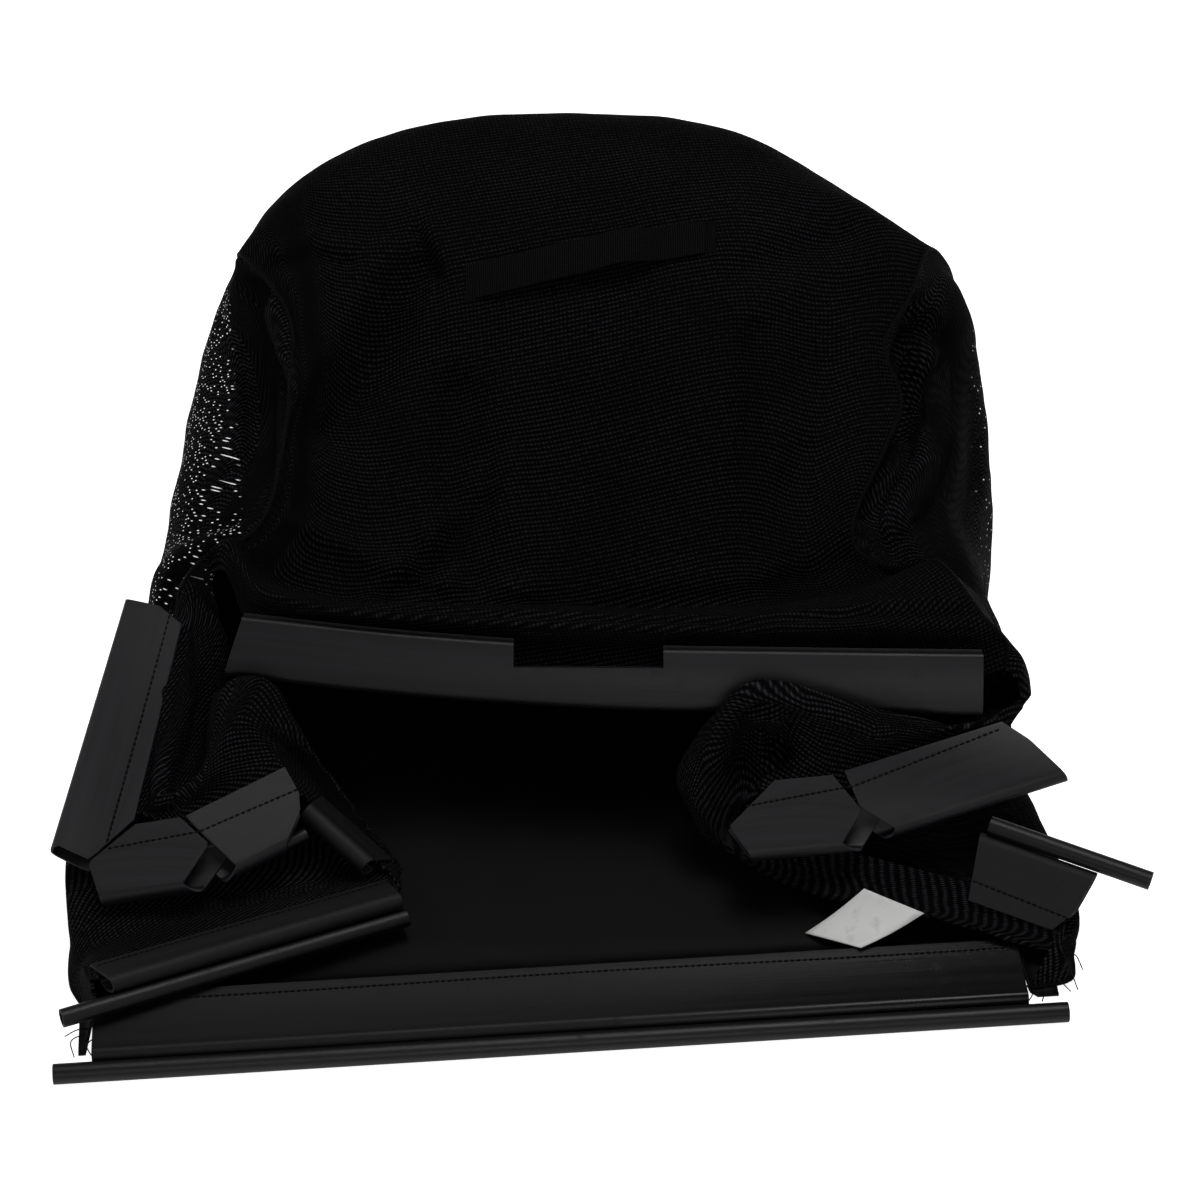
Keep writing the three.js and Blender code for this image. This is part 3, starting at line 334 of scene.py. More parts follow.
class Strip:
    """Frame of a straight clip strip: flange edge from start to finish, bend towards side."""

    def __init__(self, start, finish, side, side_end=None, width=40.0, back=CLIP_BACK,
                 curl=CLIP_CURL, radius=4.6, near=((0, 0),), far=((0, 0),), tails=(0, 0)):
        self.start, self.finish = np.array(start, float), np.array(finish, float)
        self.forward = unit(self.finish - self.start)
        self.width, self.back, self.curl, self.radius = width, back, curl, radius
        self.near, self.far, self.tails = near, far, tails
        self.frames = [self.turn(side, self.start)]
        self.frames.append(self.turn(side_end, self.finish) if side_end else self.frames[0])

    def turn(self, side, base):
        """Directions across the strip and out of its upper face."""
        across = np.array(side, float) - base
        across = unit(across - self.forward * across.dot(self.forward))
        normal = np.cross(across, self.forward)
        return across, normal if normal.dot([0, -0.67, 0.74]) >= 0 else -normal

    def at(self, t, x, y):
        """Point at share t of the length, x from the flange edge, y above the flange."""
        origin = self.start + (self.finish - self.start) * t
        across = self.frames[0][0] * (1 - t) + self.frames[1][0] * t
        normal = self.frames[0][1] * (1 - t) + self.frames[1][1] * t
        return origin + across * x + normal * y

    def under(self, t, depth, drop=0.0):
        """Middle of the cloth under the flange."""
        return self.at(t, depth, -(WALL / 2 + CLEARANCE + CLOTH_HALF + drop))

    def beside(self, t, radius, turn):
        """Middle of a tube that lies against the outside of the bend."""
        reach = self.radius + WALL / 2 + CLEARANCE + radius
        angle = math.radians(turn)
        x = self.width - WALL / 2 - self.radius + reach * math.cos(angle)
        return self.at(t, x, -self.radius + reach * math.sin(angle))


STRIPS = {
    "left_upper_clip": Strip((-226, -55, 92), (-246, -153, 43), (-263, -46, 80), (-286, -158, 40),
                             near=((0, 0), (16, -10), (40, -14)), far=((0, -1), (18, 24), (40, 18)),
                             tails=(0, 4)),
    "left_corner_clip": Strip((-245, -155, 43), (-222, -153, 46), (-240, -188, 28),
                              near=((0, 0), (17, -26), (40, -21)), far=((0, 0), (17, 14), (40, -5)),
                              tails=(0, 11)),
    "left_lower_clip": Strip((-219, -154, 48), (-169, -126, 56), (-192, -180, 32),
                             near=((0, 0), (12, 3), (40, 12)),
                             far=((0, 0), (16, 0), (25, -4), (40, -22)), tails=(-9, 0)),
    "left_fold_clip": Strip((-152, -124, 33), (-114, -154, 16), (-158, -141, 43), width=20.0,
                            back=4.0, curl=1.2, near=((0, 1), (20, 3)), far=((0, 0), (20, -5))),
    "left_bottom_clip": Strip((-258, -235, 25), (-116, -172, 19), (-256, -254, 30), width=20.0,
                              back=6.0, curl=1.5, radius=4.0, near=((0, -4), (20, 2)),
                              far=((0, 0), (20, 2))),
    "right_upper_clip": Strip((203, -117, 80), (121, -139, 66), (213, -153, 66), (132, -166, 39),
                              near=((0, 0), (14, -10), (40, -22)),
                              far=((0, 0), (20, -2), (40, -20)), tails=(0, 9)),
    "right_corner_clip": Strip((115, -140, 64), (85, -142, 62), (100, -170, 44),
                               near=((0, 0), (20, -13), (40, 2)), far=((0, 0), (22, 26), (40, 15)),
                               tails=(-12, 0)),
    "right_bottom_clip": Strip((226, -206, 18), (184, -189, 22), (246, -184, 38), width=36.0,
                               near=((0, 0), (14, -8), (36, -12)), far=((0, 0), (36, 6))),
}


def front_edge(t):
    """Flange edge of the front clip at share t of its length, and its inward direction."""
    tube_from, tube_to = (np.array(p, float) for p in FRONT_TUBE)
    run = unit(tube_to - tube_from)
    inward = np.cross([0, 0, 1], run)
    x = FRONT_CLIP[0] + (FRONT_CLIP[1] - FRONT_CLIP[0]) * t
    point = tube_from + run * (x - tube_from[0]) / run[0]
    point = point + inward * (FRONT_TUBE_RADIUS + CLEARANCE + FRONT_WIDTH)
    point[2] = 2 * FRONT_RADIUS + WALL
    return point, inward, run


def behind_top(t, height, seat):
    """Middle of the hem behind the top clip, at a height and a distance behind its wall."""
    back = TOP_RADIUS + WALL / 2 + seat + CLOTH_HALF
    return spline(TOP_LINE, t)[0] + TOP_UP * height - TOP_FRONT * back


def left_rim(depth):
    """The left side's edge, sewn under its strips at a depth from their flange edge."""
    s = STRIPS
    corner = s["left_corner_clip"].under(0.95, depth, 1)
    lower = s["left_lower_clip"].under(0.02, depth, 1)
    return [
        s["left_upper_clip"].under(0.02, depth, 0.4),
        s["left_upper_clip"].under(0.93, depth, 1),
        (corner + lower) / 2,
        s["left_lower_clip"].under(0.97, depth),
        s["left_fold_clip"].under(0.05, depth, 0.4),
        s["left_fold_clip"].under(1.12, depth, 0.4),
        s["left_bottom_clip"].under(1.03, depth),
        s["left_bottom_clip"].under(-0.04, depth),
    ]


def right_rim(depth, ends, low):
    """The right side's edge, from the top seam's end round the arch to the floor."""
    s = STRIPS
    return [
        *ends,
        s["right_upper_clip"].under(0.04, depth, 1.4),
        s["right_upper_clip"].under(0.94, depth, 1.4),
        s["right_corner_clip"].under(0.05, depth, 1),
        s["right_corner_clip"].under(1.25, depth * 0.4),
        *low,
        s["right_bottom_clip"].under(1.08, depth),
        s["right_bottom_clip"].under(-0.1, depth),
    ]


def top_rows():
    """All rows of the top panel: hem, cloth and the line on the floor."""
    hem = []
    for (left, right), (height, seat) in zip(HEM_ENDS, [(14, 1.1), (TOP_HEIGHT + 1, 4.5)]):
        middle = [behind_top(t, height, seat) for t in HEM_PLACES]
        hem.append([*left, *middle, right])
    return [np.array(row, float) for row in (*hem, *TOP_ROWS, REAR_ROW)]


LEFT_RIMS = [
    (0.0, left_rim(9), (-256, -262)),
    (0.02, left_rim(-5), (-264, -247)),
]
RIGHT_RIMS = [
    (0.0, right_rim(9, [(212, -98, 92), (214, -106, 80)], [(76, -140, 38), (120, -158, 28)]),
     (213, -232)),
    (0.02, right_rim(-5, [(214, -94, 98), (218, -102, 84)], [(66, -142, 32), (112, -164, 20)]),
     (235, -225)),
]


def top_surface(a, b):
    """Points of the top panel at shares a from left to right and b from hem to floor."""
    columns = np.stack([spline(row, a) for row in top_rows()])
    return spline(columns, b)


def side_surface(rims, rows, seam, a, b):
    """Points of a side at shares a from its top seam to the floor and b from front to rear."""
    columns = []
    for line, part in ((polyline, rims), (spline, rows)):
        for share, middle, foot in part:
            points = [spline(seam, share)[0], *middle, (*foot, FLOOR_LINE)]
            columns.append(line(points, a))
    columns.append(spline(spline(seam, np.linspace(REAR_CORNER, 1, 10)), a))
    grid = spline(np.stack(columns), b)
    shares = [row[0] for row in (*rims, *rows)] + [REAR_CORNER]
    keys = np.zeros((len(shares), 3))
    keys[:, 0] = shares
    grid[:, 0] = spline(seam, spline(keys, b)[:, 0])
    return grid


def seams():
    """Left, right and rear border lines of the top panel."""
    rows = top_rows()
    left = np.array([row[0] for row in rows])
    right = np.array([row[-1] for row in rows])
    return left, right, rows[-1]


def grid_normals(grid):
    """Direction out of the sheet at every point of a grid."""
    along = np.gradient(grid, axis=1)
    up = np.gradient(grid, axis=0)
    normal = np.cross(along, up)
    return normal / np.maximum(np.linalg.norm(normal, axis=2, keepdims=True), 1e-9)


def line_distance(grid, points):
    """Distance of every grid point from a chain of straight pieces."""
    best = np.full(grid.shape[:2], 1e9)
    for a, b in zip(points[:-1], points[1:]):
        a, b = np.array(a, float), np.array(b, float)
        run = b - a
        t = np.clip((grid - a) @ run / run.dot(run), 0, 1)
        gap = np.linalg.norm(grid - (a + t[..., None] * run), axis=2)
        best = np.minimum(best, gap)
    return best


def edge_fade(shape, reach):
    """0 on the border of a grid and 1 from reach steps inside."""
    j = np.minimum(np.arange(shape[0]), np.arange(shape[0])[::-1])
    i = np.minimum(np.arange(shape[1]), np.arange(shape[1])[::-1])
    near = np.minimum(j[:, None], i[None, :]) / reach
    near = np.clip(near, 0, 1)
    return near * near * (3 - 2 * near)


def crumple(grid, size, depth, seed):
    """Moves points along their normals by coarse and finer soft noise, in mm."""
    normals = grid_normals(grid)
    fade = edge_fade(grid.shape, 6)
    offset = Vector((seed, seed * 0.7, 0))
    moved = grid.copy()
    for j in range(grid.shape[0]):
        for i in range(grid.shape[1]):
            spot = Vector(grid[j, i]) / size + offset
            value = noise.noise(spot) + 0.45 * noise.noise(spot * 2.3)
            moved[j, i] += normals[j, i] * value * depth * fade[j, i]
    return moved


def press_creases(grid, creases):
    """Sinks or lifts the cloth along lines, seen from the front."""
    normals = grid_normals(grid)
    fade = edge_fade(grid.shape, 4)
    for points, half_width, rise in creases:
        gap = line_distance(grid, points)
        faces = normals.reshape(-1, 3)[gap.argmin()].dot(VIEW)
        near = np.exp(-((gap / half_width) ** 2)) * math.copysign(rise, rise * faces)
        grid = grid + normals * (near * fade)[..., None]
    return grid


# Meshes


def place(points):
    """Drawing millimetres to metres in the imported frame."""
    return (np.asarray(points, float) + ORIGIN) * MM


def lengths(grid, axis):
    """Running length along one axis of a grid, in metres."""
    step = np.linalg.norm(np.diff(grid, axis=axis), axis=2)
    pad = [(0, 0), (0, 0)]
    pad[axis] = (1, 0)
    return np.pad(np.cumsum(step, axis=axis), pad) * MM


def grid_mesh(grid, inward=False, turn=0.0, smooth=None):
    """A sheet of faces laid on a grid of points, with UVs in metres along the smooth cloth."""
    lines, columns = grid.shape[:2]
    bm = bmesh.new()
    bmesh.ops.create_grid(bm, x_segments=columns - 1, y_segments=lines - 1, size=1)
    smooth = grid if smooth is None else smooth
    across = lengths(smooth, 1)
    across = across - across[:, columns // 2][:, None]
    down = lengths(smooth, 0)
    placed = place(grid)
    lean, rise = math.cos(math.radians(turn)), math.sin(math.radians(turn))
    uv = bm.loops.layers.uv.new("cloth")
    spots = {}
    for vert in bm.verts:
        i = round((vert.co.x + 1) / 2 * (columns - 1))
        j = round((vert.co.y + 1) / 2 * (lines - 1))
        u, v = across[j, i], down[j, i]
        spots[vert] = (u * lean - v * rise, u * rise + v * lean)
        vert.co = placed[j, i]
    for face in bm.faces:
        for loop in face.loops:
            loop[uv].uv = spots[loop.vert]
    if inward:
        bmesh.ops.reverse_faces(bm, faces=bm.faces)
    return bm


def ring_grid(points, radius, sides):
    """Rings of points round a line, for a cord or a tube."""
    points = np.asarray(points, float)
    ahead = np.gradient(points, axis=0)
    ahead /= np.linalg.norm(ahead, axis=1, keepdims=True)
    guide = np.array([1.0, 0, 0]) if abs(ahead[0, 2]) > 0.8 else UP
    side = unit(np.cross(guide, ahead[0]))
    angles = np.linspace(0, 2 * math.pi, sides + 1)
    rings = []
    for point, forward in zip(points, ahead):
        side = unit(side - forward * side.dot(forward))
        normal = np.cross(forward, side)
        rings.append(point + radius * (np.cos(angles)[:, None] * side
                                       + np.sin(angles)[:, None] * normal))
    return np.array(rings)


def pipe_mesh(points, radius, sides, closed=False):
    """A round skin along a line, open or closed at its ends."""
    bm = grid_mesh(ring_grid(points, radius, sides))
    bmesh.ops.remove_doubles(bm, verts=bm.verts, dist=WELD)
    if closed:
        rim = [edge for edge in bm.edges if edge.is_boundary]
        bmesh.ops.holes_fill(bm, edges=rim, sides=0)
    bmesh.ops.recalc_face_normals(bm, faces=bm.faces)
    return bm


def add_piece(name, bm, materials, nodes=()):
    """Makes the finished object, hangs it on the root body and hides the nodes that it replaces."""
    mesh = bpy.data.meshes.new(name)
    bm.to_mesh(mesh)
    bm.free()
    piece = bpy.data.objects.new(name, mesh)
    bpy.context.scene.collection.objects.link(piece)
    for material in materials:
        mesh.materials.append(material)
    mesh.shade_smooth()
    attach(piece, "root")
    if nodes:
        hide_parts(*nodes)
    return piece


def thicken(piece, thickness, rim=0):
    """Gives a skin its wall in mm; rim counts on to the material of the cut edges."""
    wall = piece.modifiers.new("Wall", "SOLIDIFY")
    wall.thickness = thickness * MM
    wall.offset = 0
    wall.material_offset_rim = rim


def soften_edges(piece, width):
    """Rounds the sharp edges of a piece, width in mm."""
    edge = piece.modifiers.new("Edge", "BEVEL")
    edge.width = width * MM
    edge.segments = 2
    edge.limit_method = "ANGLE"
    edge.angle_limit = math.radians(50)
    even = piece.modifiers.new("Even shading", "WEIGHTED_NORMAL")
    even.keep_sharp = True


# Cloth


def span_steps(counts):
    """Places from 0 to 1 with as many steps in each span as its count says."""
    places = [0.0]
    for k, count in enumerate(counts):
        places += [(k + (i + 1) / count) / len(counts) for i in range(count)]
    return np.array(places)


MOUTH_STEPS = [1, 2, 2, 2, 3, 3]
LEFT_LINES = span_steps([*MOUTH_STEPS, 2, 2, 2, 1, 1, 2])
RIGHT_LINES = span_steps([*MOUTH_STEPS, 2, 2, 2, 2, 2, 1, 2])


def feet():
    """Border lines of the floor: left, right and rear."""
    left, right, rear = seams()
    left_foot = side_surface(LEFT_RIMS, LEFT_ROWS, left, [0.0, 1.0], LEFT_LINES)[:, -1]
    right_foot = side_surface(RIGHT_RIMS, RIGHT_ROWS, right, [0.0, 1.0], RIGHT_LINES)[:, -1]
    return left_foot, right_foot, rear


# Distance of the floor from the seams, height of its middle, depth and share of the height
# of its turned-up front edge, and the span of that edge as shares of the front clip's length
FLOOR_INSET = 2.7
FLOOR_MIDDLE = 1.0
FLOOR_TURN_UP = [(13, 1), (1, 1), (-3, 0.75), (-8, 0.15), (-11, 0)]
FLOOR_TABS = (-0.016, 1.037)


def floor_grid(a, b):
    """The vinyl floor; the first rows go under the front clip's flange."""
    left_foot, right_foot, rear = feet()
    left_foot = left_foot + [FLOOR_INSET, 0, 0]
    right_foot = right_foot - [FLOOR_INSET, 0, 0]
    rear = rear - [0, FLOOR_INSET, 0]
    rows = []
    for depth, share in FLOOR_TURN_UP:
        row = []
        for t in a:
            along = FLOOR_TABS[0] + (FLOOR_TABS[1] - FLOOR_TABS[0]) * t
            point, inward, _ = front_edge(along)
            beyond = min(1.0, max(0.0, -along, along - 1) / 0.008)
            point = point - inward * (depth + beyond * max(0, depth) * 1.4)
            under = point[2] - (WALL / 2 + CLEARANCE + FLOOR_MIDDLE)
            point[2] = FLOOR_MIDDLE + (under - FLOOR_MIDDLE) * share * (1 - beyond)
            row.append(point)
        rows.append(np.array(row))
    line = spline(rear, a)
    chord = rear[0] * (1 - a[:, None]) + rear[-1] * a[:, None]
    for t in np.linspace(0.25, 1, 12):
        share = max(0.0, (t - 0.4) / 0.6) ** 1.4
        ends = [spline(foot, t)[0] for foot in (left_foot, right_foot)]
        row = ends[0] * (1 - a[:, None]) + ends[1] * a[:, None] + (line - chord) * share
        row[:, 2] = FLOOR_MIDDLE
        rows.append(row)
    return spline(np.stack(rows), b)


def pull_back(grid, inset):
    """Shortens a sheet at its sides so that it ends at the seam cords."""
    grid = grid.copy()
    for edge, inner in (np.s_[:, 0], np.s_[:, 1]), (np.s_[:, -1], np.s_[:, -2]), (-1, -2):
        gap = grid[inner] - grid[edge]
        reach = np.linalg.norm(gap, axis=1, keepdims=True)
        grid[edge] += gap / np.maximum(reach, 1e-6) * np.minimum(inset, reach * 0.8)
    return grid


def add_cloth(name, node, smooth, noise_size, seed, creases, inward, turn, material):
    """A knitted sheet from its smooth surface, with its unevenness, creases and thickness."""
    cloth = bpy.context.scene.grass_cloth
    grid = crumple(smooth, noise_size, cloth.crumple / MM, seed)
    grid = press_creases(grid + ORIGIN, creases) - ORIGIN
    bm = grid_mesh(pull_back(grid, 1.0), inward, turn, smooth)
    piece = add_piece(name, bm, [material], [node])
    thicken(piece, cloth.thickness / MM)


# Strips


def clip_line(width, radius, back, curl):
    """Middle line of a clip's wall from its flange edge round the bend to the rolled tip."""
    line = [(x, 0.0) for x in np.linspace(0, width - WALL / 2 - radius, 14)[:-1]]
    centre = width - WALL / 2 - radius
    for t in np.linspace(0, 1, 15):
        angle = math.pi / 2 - math.pi * t
        line.append((centre + radius * math.cos(angle), radius * math.sin(angle) - radius))
    for t in np.linspace(0, 1, 7)[1:]:
        bow = 1.2 * math.sin(math.pi * t)
        line.append((centre - back * t, -2 * radius - bow + 0.8 * t))
    tip = line[-1]
    for t in np.linspace(0, 1, 11)[1:]:
        angle = -math.pi / 2 - 1.25 * math.pi * t
        line.append((tip[0] + curl * math.cos(angle), tip[1] + curl + curl * math.sin(angle)))
    return line


def slide_of(x, pairs):
    """How far a cut end runs on at x from the flange edge."""
    return float(np.interp(x, [pair[0] for pair in pairs], [pair[1] for pair in pairs]))


def strip_grid(strip, stations):
    """A loose strip's wall, its ends cut to their mitres and the roll's tail left longer."""
    line = clip_line(strip.width, strip.radius, strip.back, strip.curl)
    grid = []
    for t in stations:
        row = []
        for k, (x, y) in enumerate(line):
            slide = slide_of(x, strip.near) * (1 - t) + slide_of(x, strip.far) * t
            tail = strip.tails[0] * (1 - t) + strip.tails[1] * t
            slide += tail * min(max((k - 14) / 7, 0), 1)
            row.append(strip.at(t, x, y) + strip.forward * slide)
        grid.append(row)
    return np.array(grid)


def top_line_frame(t):
    """Foot of the top clip at share t and its upward direction, which leans at the left end."""
    origin = spline(TOP_LINE, t)[0]
    slope = (10 / TOP_HEIGHT) * max(0.0, 1 - t * 10)
    ahead = unit(spline(TOP_LINE, min(t + 0.02, 1))[0] - spline(TOP_LINE, max(t - 0.02, 0))[0])
    return origin, TOP_UP + ahead * slope


def top_clip_line():
    """Middle line of the top clip's wall, from behind the hem to the rolled front tip."""
    line = [(-TOP_RADIUS, y) for y in np.linspace(TOP_HEIGHT + 2, 4, 14)[:-1]]
    for t in np.linspace(0, 1, 13):
        angle = math.pi + math.pi * t
        line.append((TOP_RADIUS * math.cos(angle), TOP_RADIUS + TOP_RADIUS * math.sin(angle)))
    for t in np.linspace(0, 1, 9)[1:]:
        line.append((TOP_RADIUS + 1.2 * math.sin(math.pi * t), TOP_RADIUS + TOP_BACK * t))
    for t in np.linspace(0, 1, 11)[1:]:
        angle = math.pi * 1.1 * t
        line.append((TOP_RADIUS - CLIP_CURL + CLIP_CURL * math.cos(angle),
                     TOP_RADIUS + TOP_BACK + CLIP_CURL * math.sin(angle)))
    return line


# Left end, right end and floor height of the top clip's notch
NOTCH = (-50.0, 28.0, 21.0)


def top_clip_mesh():
    """The top clip with the notch cut out of its rear wall."""
    line = top_clip_line()
    grid = []
    for t in np.linspace(0, 1, 81):
        origin, upward = top_line_frame(t)
        grid.append([origin + TOP_FRONT * x + upward * y for x, y in line])
    bm = grid_mesh(np.array(grid))
    middle = spline(TOP_LINE, 0.5)[0]
    left, right, floor = NOTCH
    level = Vector(place(middle + TOP_UP * floor))
    ends = [Vector(place([x, -100, 90])) for x in (left, right)]
    cuts = [*[(end, Vector((1, 0, 0))) for end in ends], (level, Vector(TOP_UP))]
    for spot, normal in cuts:
        geom = [*bm.verts, *bm.edges, *bm.faces]
        bmesh.ops.bisect_plane(bm, geom=geom, dist=WELD, plane_co=spot, plane_no=normal)
    low, high = ends[0].x, ends[1].x
    gone = []
    for face in bm.faces:
        centre = face.calc_center_median()
        if low < centre.x < high and (centre - level).dot(Vector(TOP_UP)) > 0:
            gone.append(face)
    bmesh.ops.delete(bm, geom=gone, context="FACES")
    return bm


def front_clip_grid(stations):
    """The front clip's wall; its flange sags a little between its edge and the bend."""
    line = clip_line(FRONT_WIDTH, FRONT_RADIUS, CLIP_BACK, CLIP_CURL)
    grid = []
    for t in stations:
        point, inward, _ = front_edge(t)
        rows = []
        for x, y in line:
            flange = max(0.0, 1 - x / FRONT_WIDTH) if y == 0 else 0.0
            sag = FRONT_SAG * math.sin(math.pi * flange)
            rows.append(point - inward * x + UP * (y - sag))
        grid.append(rows)
    return np.array(grid)


# Clips of the same plastic drawn darker than the plain clips, as painted shade
CLIP_KINDS = {"front_clip": "front", "left_bottom_clip": "low", "left_fold_clip": "low",
              "right_bottom_clip": "low"}

# Stitch lines on the flanges: share of the length and distance from the flange edge in mm
STITCH_LINES = {
    "left_upper_clip": ((-0.06, 8), (1.11, 11)),
    "left_corner_clip": ((-0.6, 11), (1.35, 9.5)),
    "left_lower_clip": ((0.07, 11), (0.98, 14)),
    "left_bottom_clip": ((0.0, 3), (1.0, 3)),
    "right_upper_clip": ((0.05, 4), (0.99, 9)),
    "right_corner_clip": ((-0.25, 7), (1.5, 12)),
    "right_bottom_clip": ((-0.08, 8.5), (1.07, 10.5)),
}
# Half a stitch's length as a share of the stitch pitch
STITCH_SHARE = 0.42
# Loose threads: start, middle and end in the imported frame, in mm
FRAYS = [
    ((226, -222, 6), (233, -229, 9), (239, -232, 4)),
    ((222, -224, 5), (226, -232, 7), (224, -238, 3)),
    ((230, -216, 7), (239, -222, 8), (243, -230, 3)),
    ((217, -228, 4), (219, -236, 6), (214, -241, 2)),
    ((234, -212, 10), (242, -214, 12), (246, -221, 8)),
    ((-258, -262, 6), (-264, -268, 7), (-262, -275, 3)),
    ((-255, -258, 5), (-261, -262, 9), (-268, -262, 4)),
    ((-252, -262, 4), (-256, -270, 6), (-251, -277, 2)),
]


def add_stitch(bm, centre, ahead, normal, half_length, radius):
    """One raised stitch lying along a line."""
    side = np.cross(normal, ahead)
    frame_of = Matrix([[*row] for row in np.array([ahead, side, normal]).T * MM]).to_4x4()
    size = Matrix.Diagonal((half_length, radius, radius * 0.8, 1))
    turn = Matrix.Translation(Vector(place(centre))) @ frame_of @ size
    bmesh.ops.create_icosphere(bm, subdivisions=2, radius=1, matrix=turn)


def strip_stitches(bm, strip, line, pitch, radius):
    """A row of stitches along a strip's flange."""
    (t0, x0), (t1, x1) = line
    run = strip.at(t1, x1, 0) - strip.at(t0, x0, 0)
    length, ahead = np.linalg.norm(run), unit(run)
    count = max(2, round(length / pitch))
    for k in range(count + 1):
        share = k / count
        t, x = t0 + (t1 - t0) * share, x0 + (x1 - x0) * share
        normal = unit(strip.frames[0][1] * (1 - share) + strip.frames[1][1] * share)
        normal = unit(normal - ahead * normal.dot(ahead))
        centre = strip.at(t, x, WALL / 2 + 0.05)
        add_stitch(bm, centre, ahead, normal, pitch * STITCH_SHARE, radius)


def front_stitches(bm, pitch, radius):
    """The slightly wavy row of stitches along the front clip."""
    length = np.linalg.norm(front_edge(1)[0] - front_edge(0)[0])
    count = round(length / pitch)
    for k in range(count + 1):
        share = 0.004 + 0.992 * k / count
        point, inward, run = front_edge(share)
        depth = FRONT_STITCH_DEPTH + 0.5 * math.sin(9 * share)
        centre = point - inward * depth + UP * (WALL / 2 - 0.3)
        add_stitch(bm, centre, run, UP, pitch * STITCH_SHARE, radius)


def tube_beside(strip, radius, turn, ends):
    """End points and radius of a tube that lies beside a strip between two shares."""
    return [STRIPS[strip].beside(t, radius, turn) for t in ends], radius


TUBES = {
    "front_tube": (FRONT_TUBE, FRONT_TUBE_RADIUS),
    "left_bottom_tube": tube_beside("left_bottom_clip", 4.8, -62, (-0.17, 1.02)),
    "left_inner_tube": tube_beside("left_lower_clip", 3.8, -95, (0.42, 0.92)),
    "right_bottom_tube": tube_beside("right_bottom_clip", 4.8, 15, (-0.85, 1.06)),
}


def top_point(a, b):
    """One point of the top panel."""
    return top_surface(np.array([a]), np.array([b]))[0, 0]


def top_normal(a, b):
    """Outward direction of the top panel at a point."""
    run = top_point(a + 0.01, b) - top_point(a - 0.01, b)
    rise = top_point(a, b + 0.005) - top_point(a, b - 0.005)
    return unit(np.cross(run, rise))


# Ends of the strap as shares of the top panel; in mm, how far its middle line lies above the
# panel's, how high its kink is and how much lower its turned-under ends are
STRAP_START, STRAP_END = (0.516, 0.58), (0.726, 0.621)
STRAP_SEAT, STRAP_KINK, STRAP_TAB_DROP = 2.9, 3.2, 1.7
# The label's sewn and free edges, how far it sags between them and its thickness, in mm
LABEL_SEWN = [(131, -182, 23.5), (161, -197, 21)]
LABEL_FREE = [(101, -194, 2.8), (128, -214, 13.5)]
LABEL_SAG, LABEL_THICKNESS = 1.5, 0.5


def strap_grid(width, rise):
    """The webbing: flat tabs at both ends, a loose middle and a kink in it."""
    rows = [[] for _ in range(7)]
    for t in np.linspace(-0.05, 1.05, 89):
        a = STRAP_START[0] + (STRAP_END[0] - STRAP_START[0]) * t
        b = STRAP_START[1] + (STRAP_END[1] - STRAP_START[1]) * t
        normal = top_normal(a, b)
        rate = np.linalg.norm(top_point(a, b + 0.01) - top_point(a, b - 0.01)) / 0.02
        kink = math.exp(-((t - 0.62) / 0.09) ** 2) - 0.6 * math.exp(-((t - 0.8) / 0.08) ** 2)
        loose = math.sin(math.pi * min(max(t, 0), 1)) ** 1.5
        tab = min(1.0, max(0.0, 1 - min(t, 1 - t) / 0.015))
        lift = STRAP_SEAT + rise * loose + STRAP_KINK * kink - STRAP_TAB_DROP * tab
        for k, side in enumerate(np.linspace(-0.5, 0.5, 7)):
            spot = top_point(a, b + side * width / rate)
            rows[k].append(spot + normal * lift)
    return np.array(rows)


def label_grid():
    """The label tape, slightly hollow between its sewn and its free edge."""
    rows = []
    for w in np.linspace(0, 1, 9):
        sewn, free = (np.array(edge[0]) * (1 - w) + np.array(edge[1]) * w
                      for edge in (LABEL_SEWN, LABEL_FREE))
        row = []
        for t in np.linspace(0, 1, 19):
            point = sewn * (1 - t) + free * t
            point[2] -= LABEL_SAG * math.sin(math.pi * t)
            row.append(point)
        rows.append(row)
    return np.array(rows)


# Materials


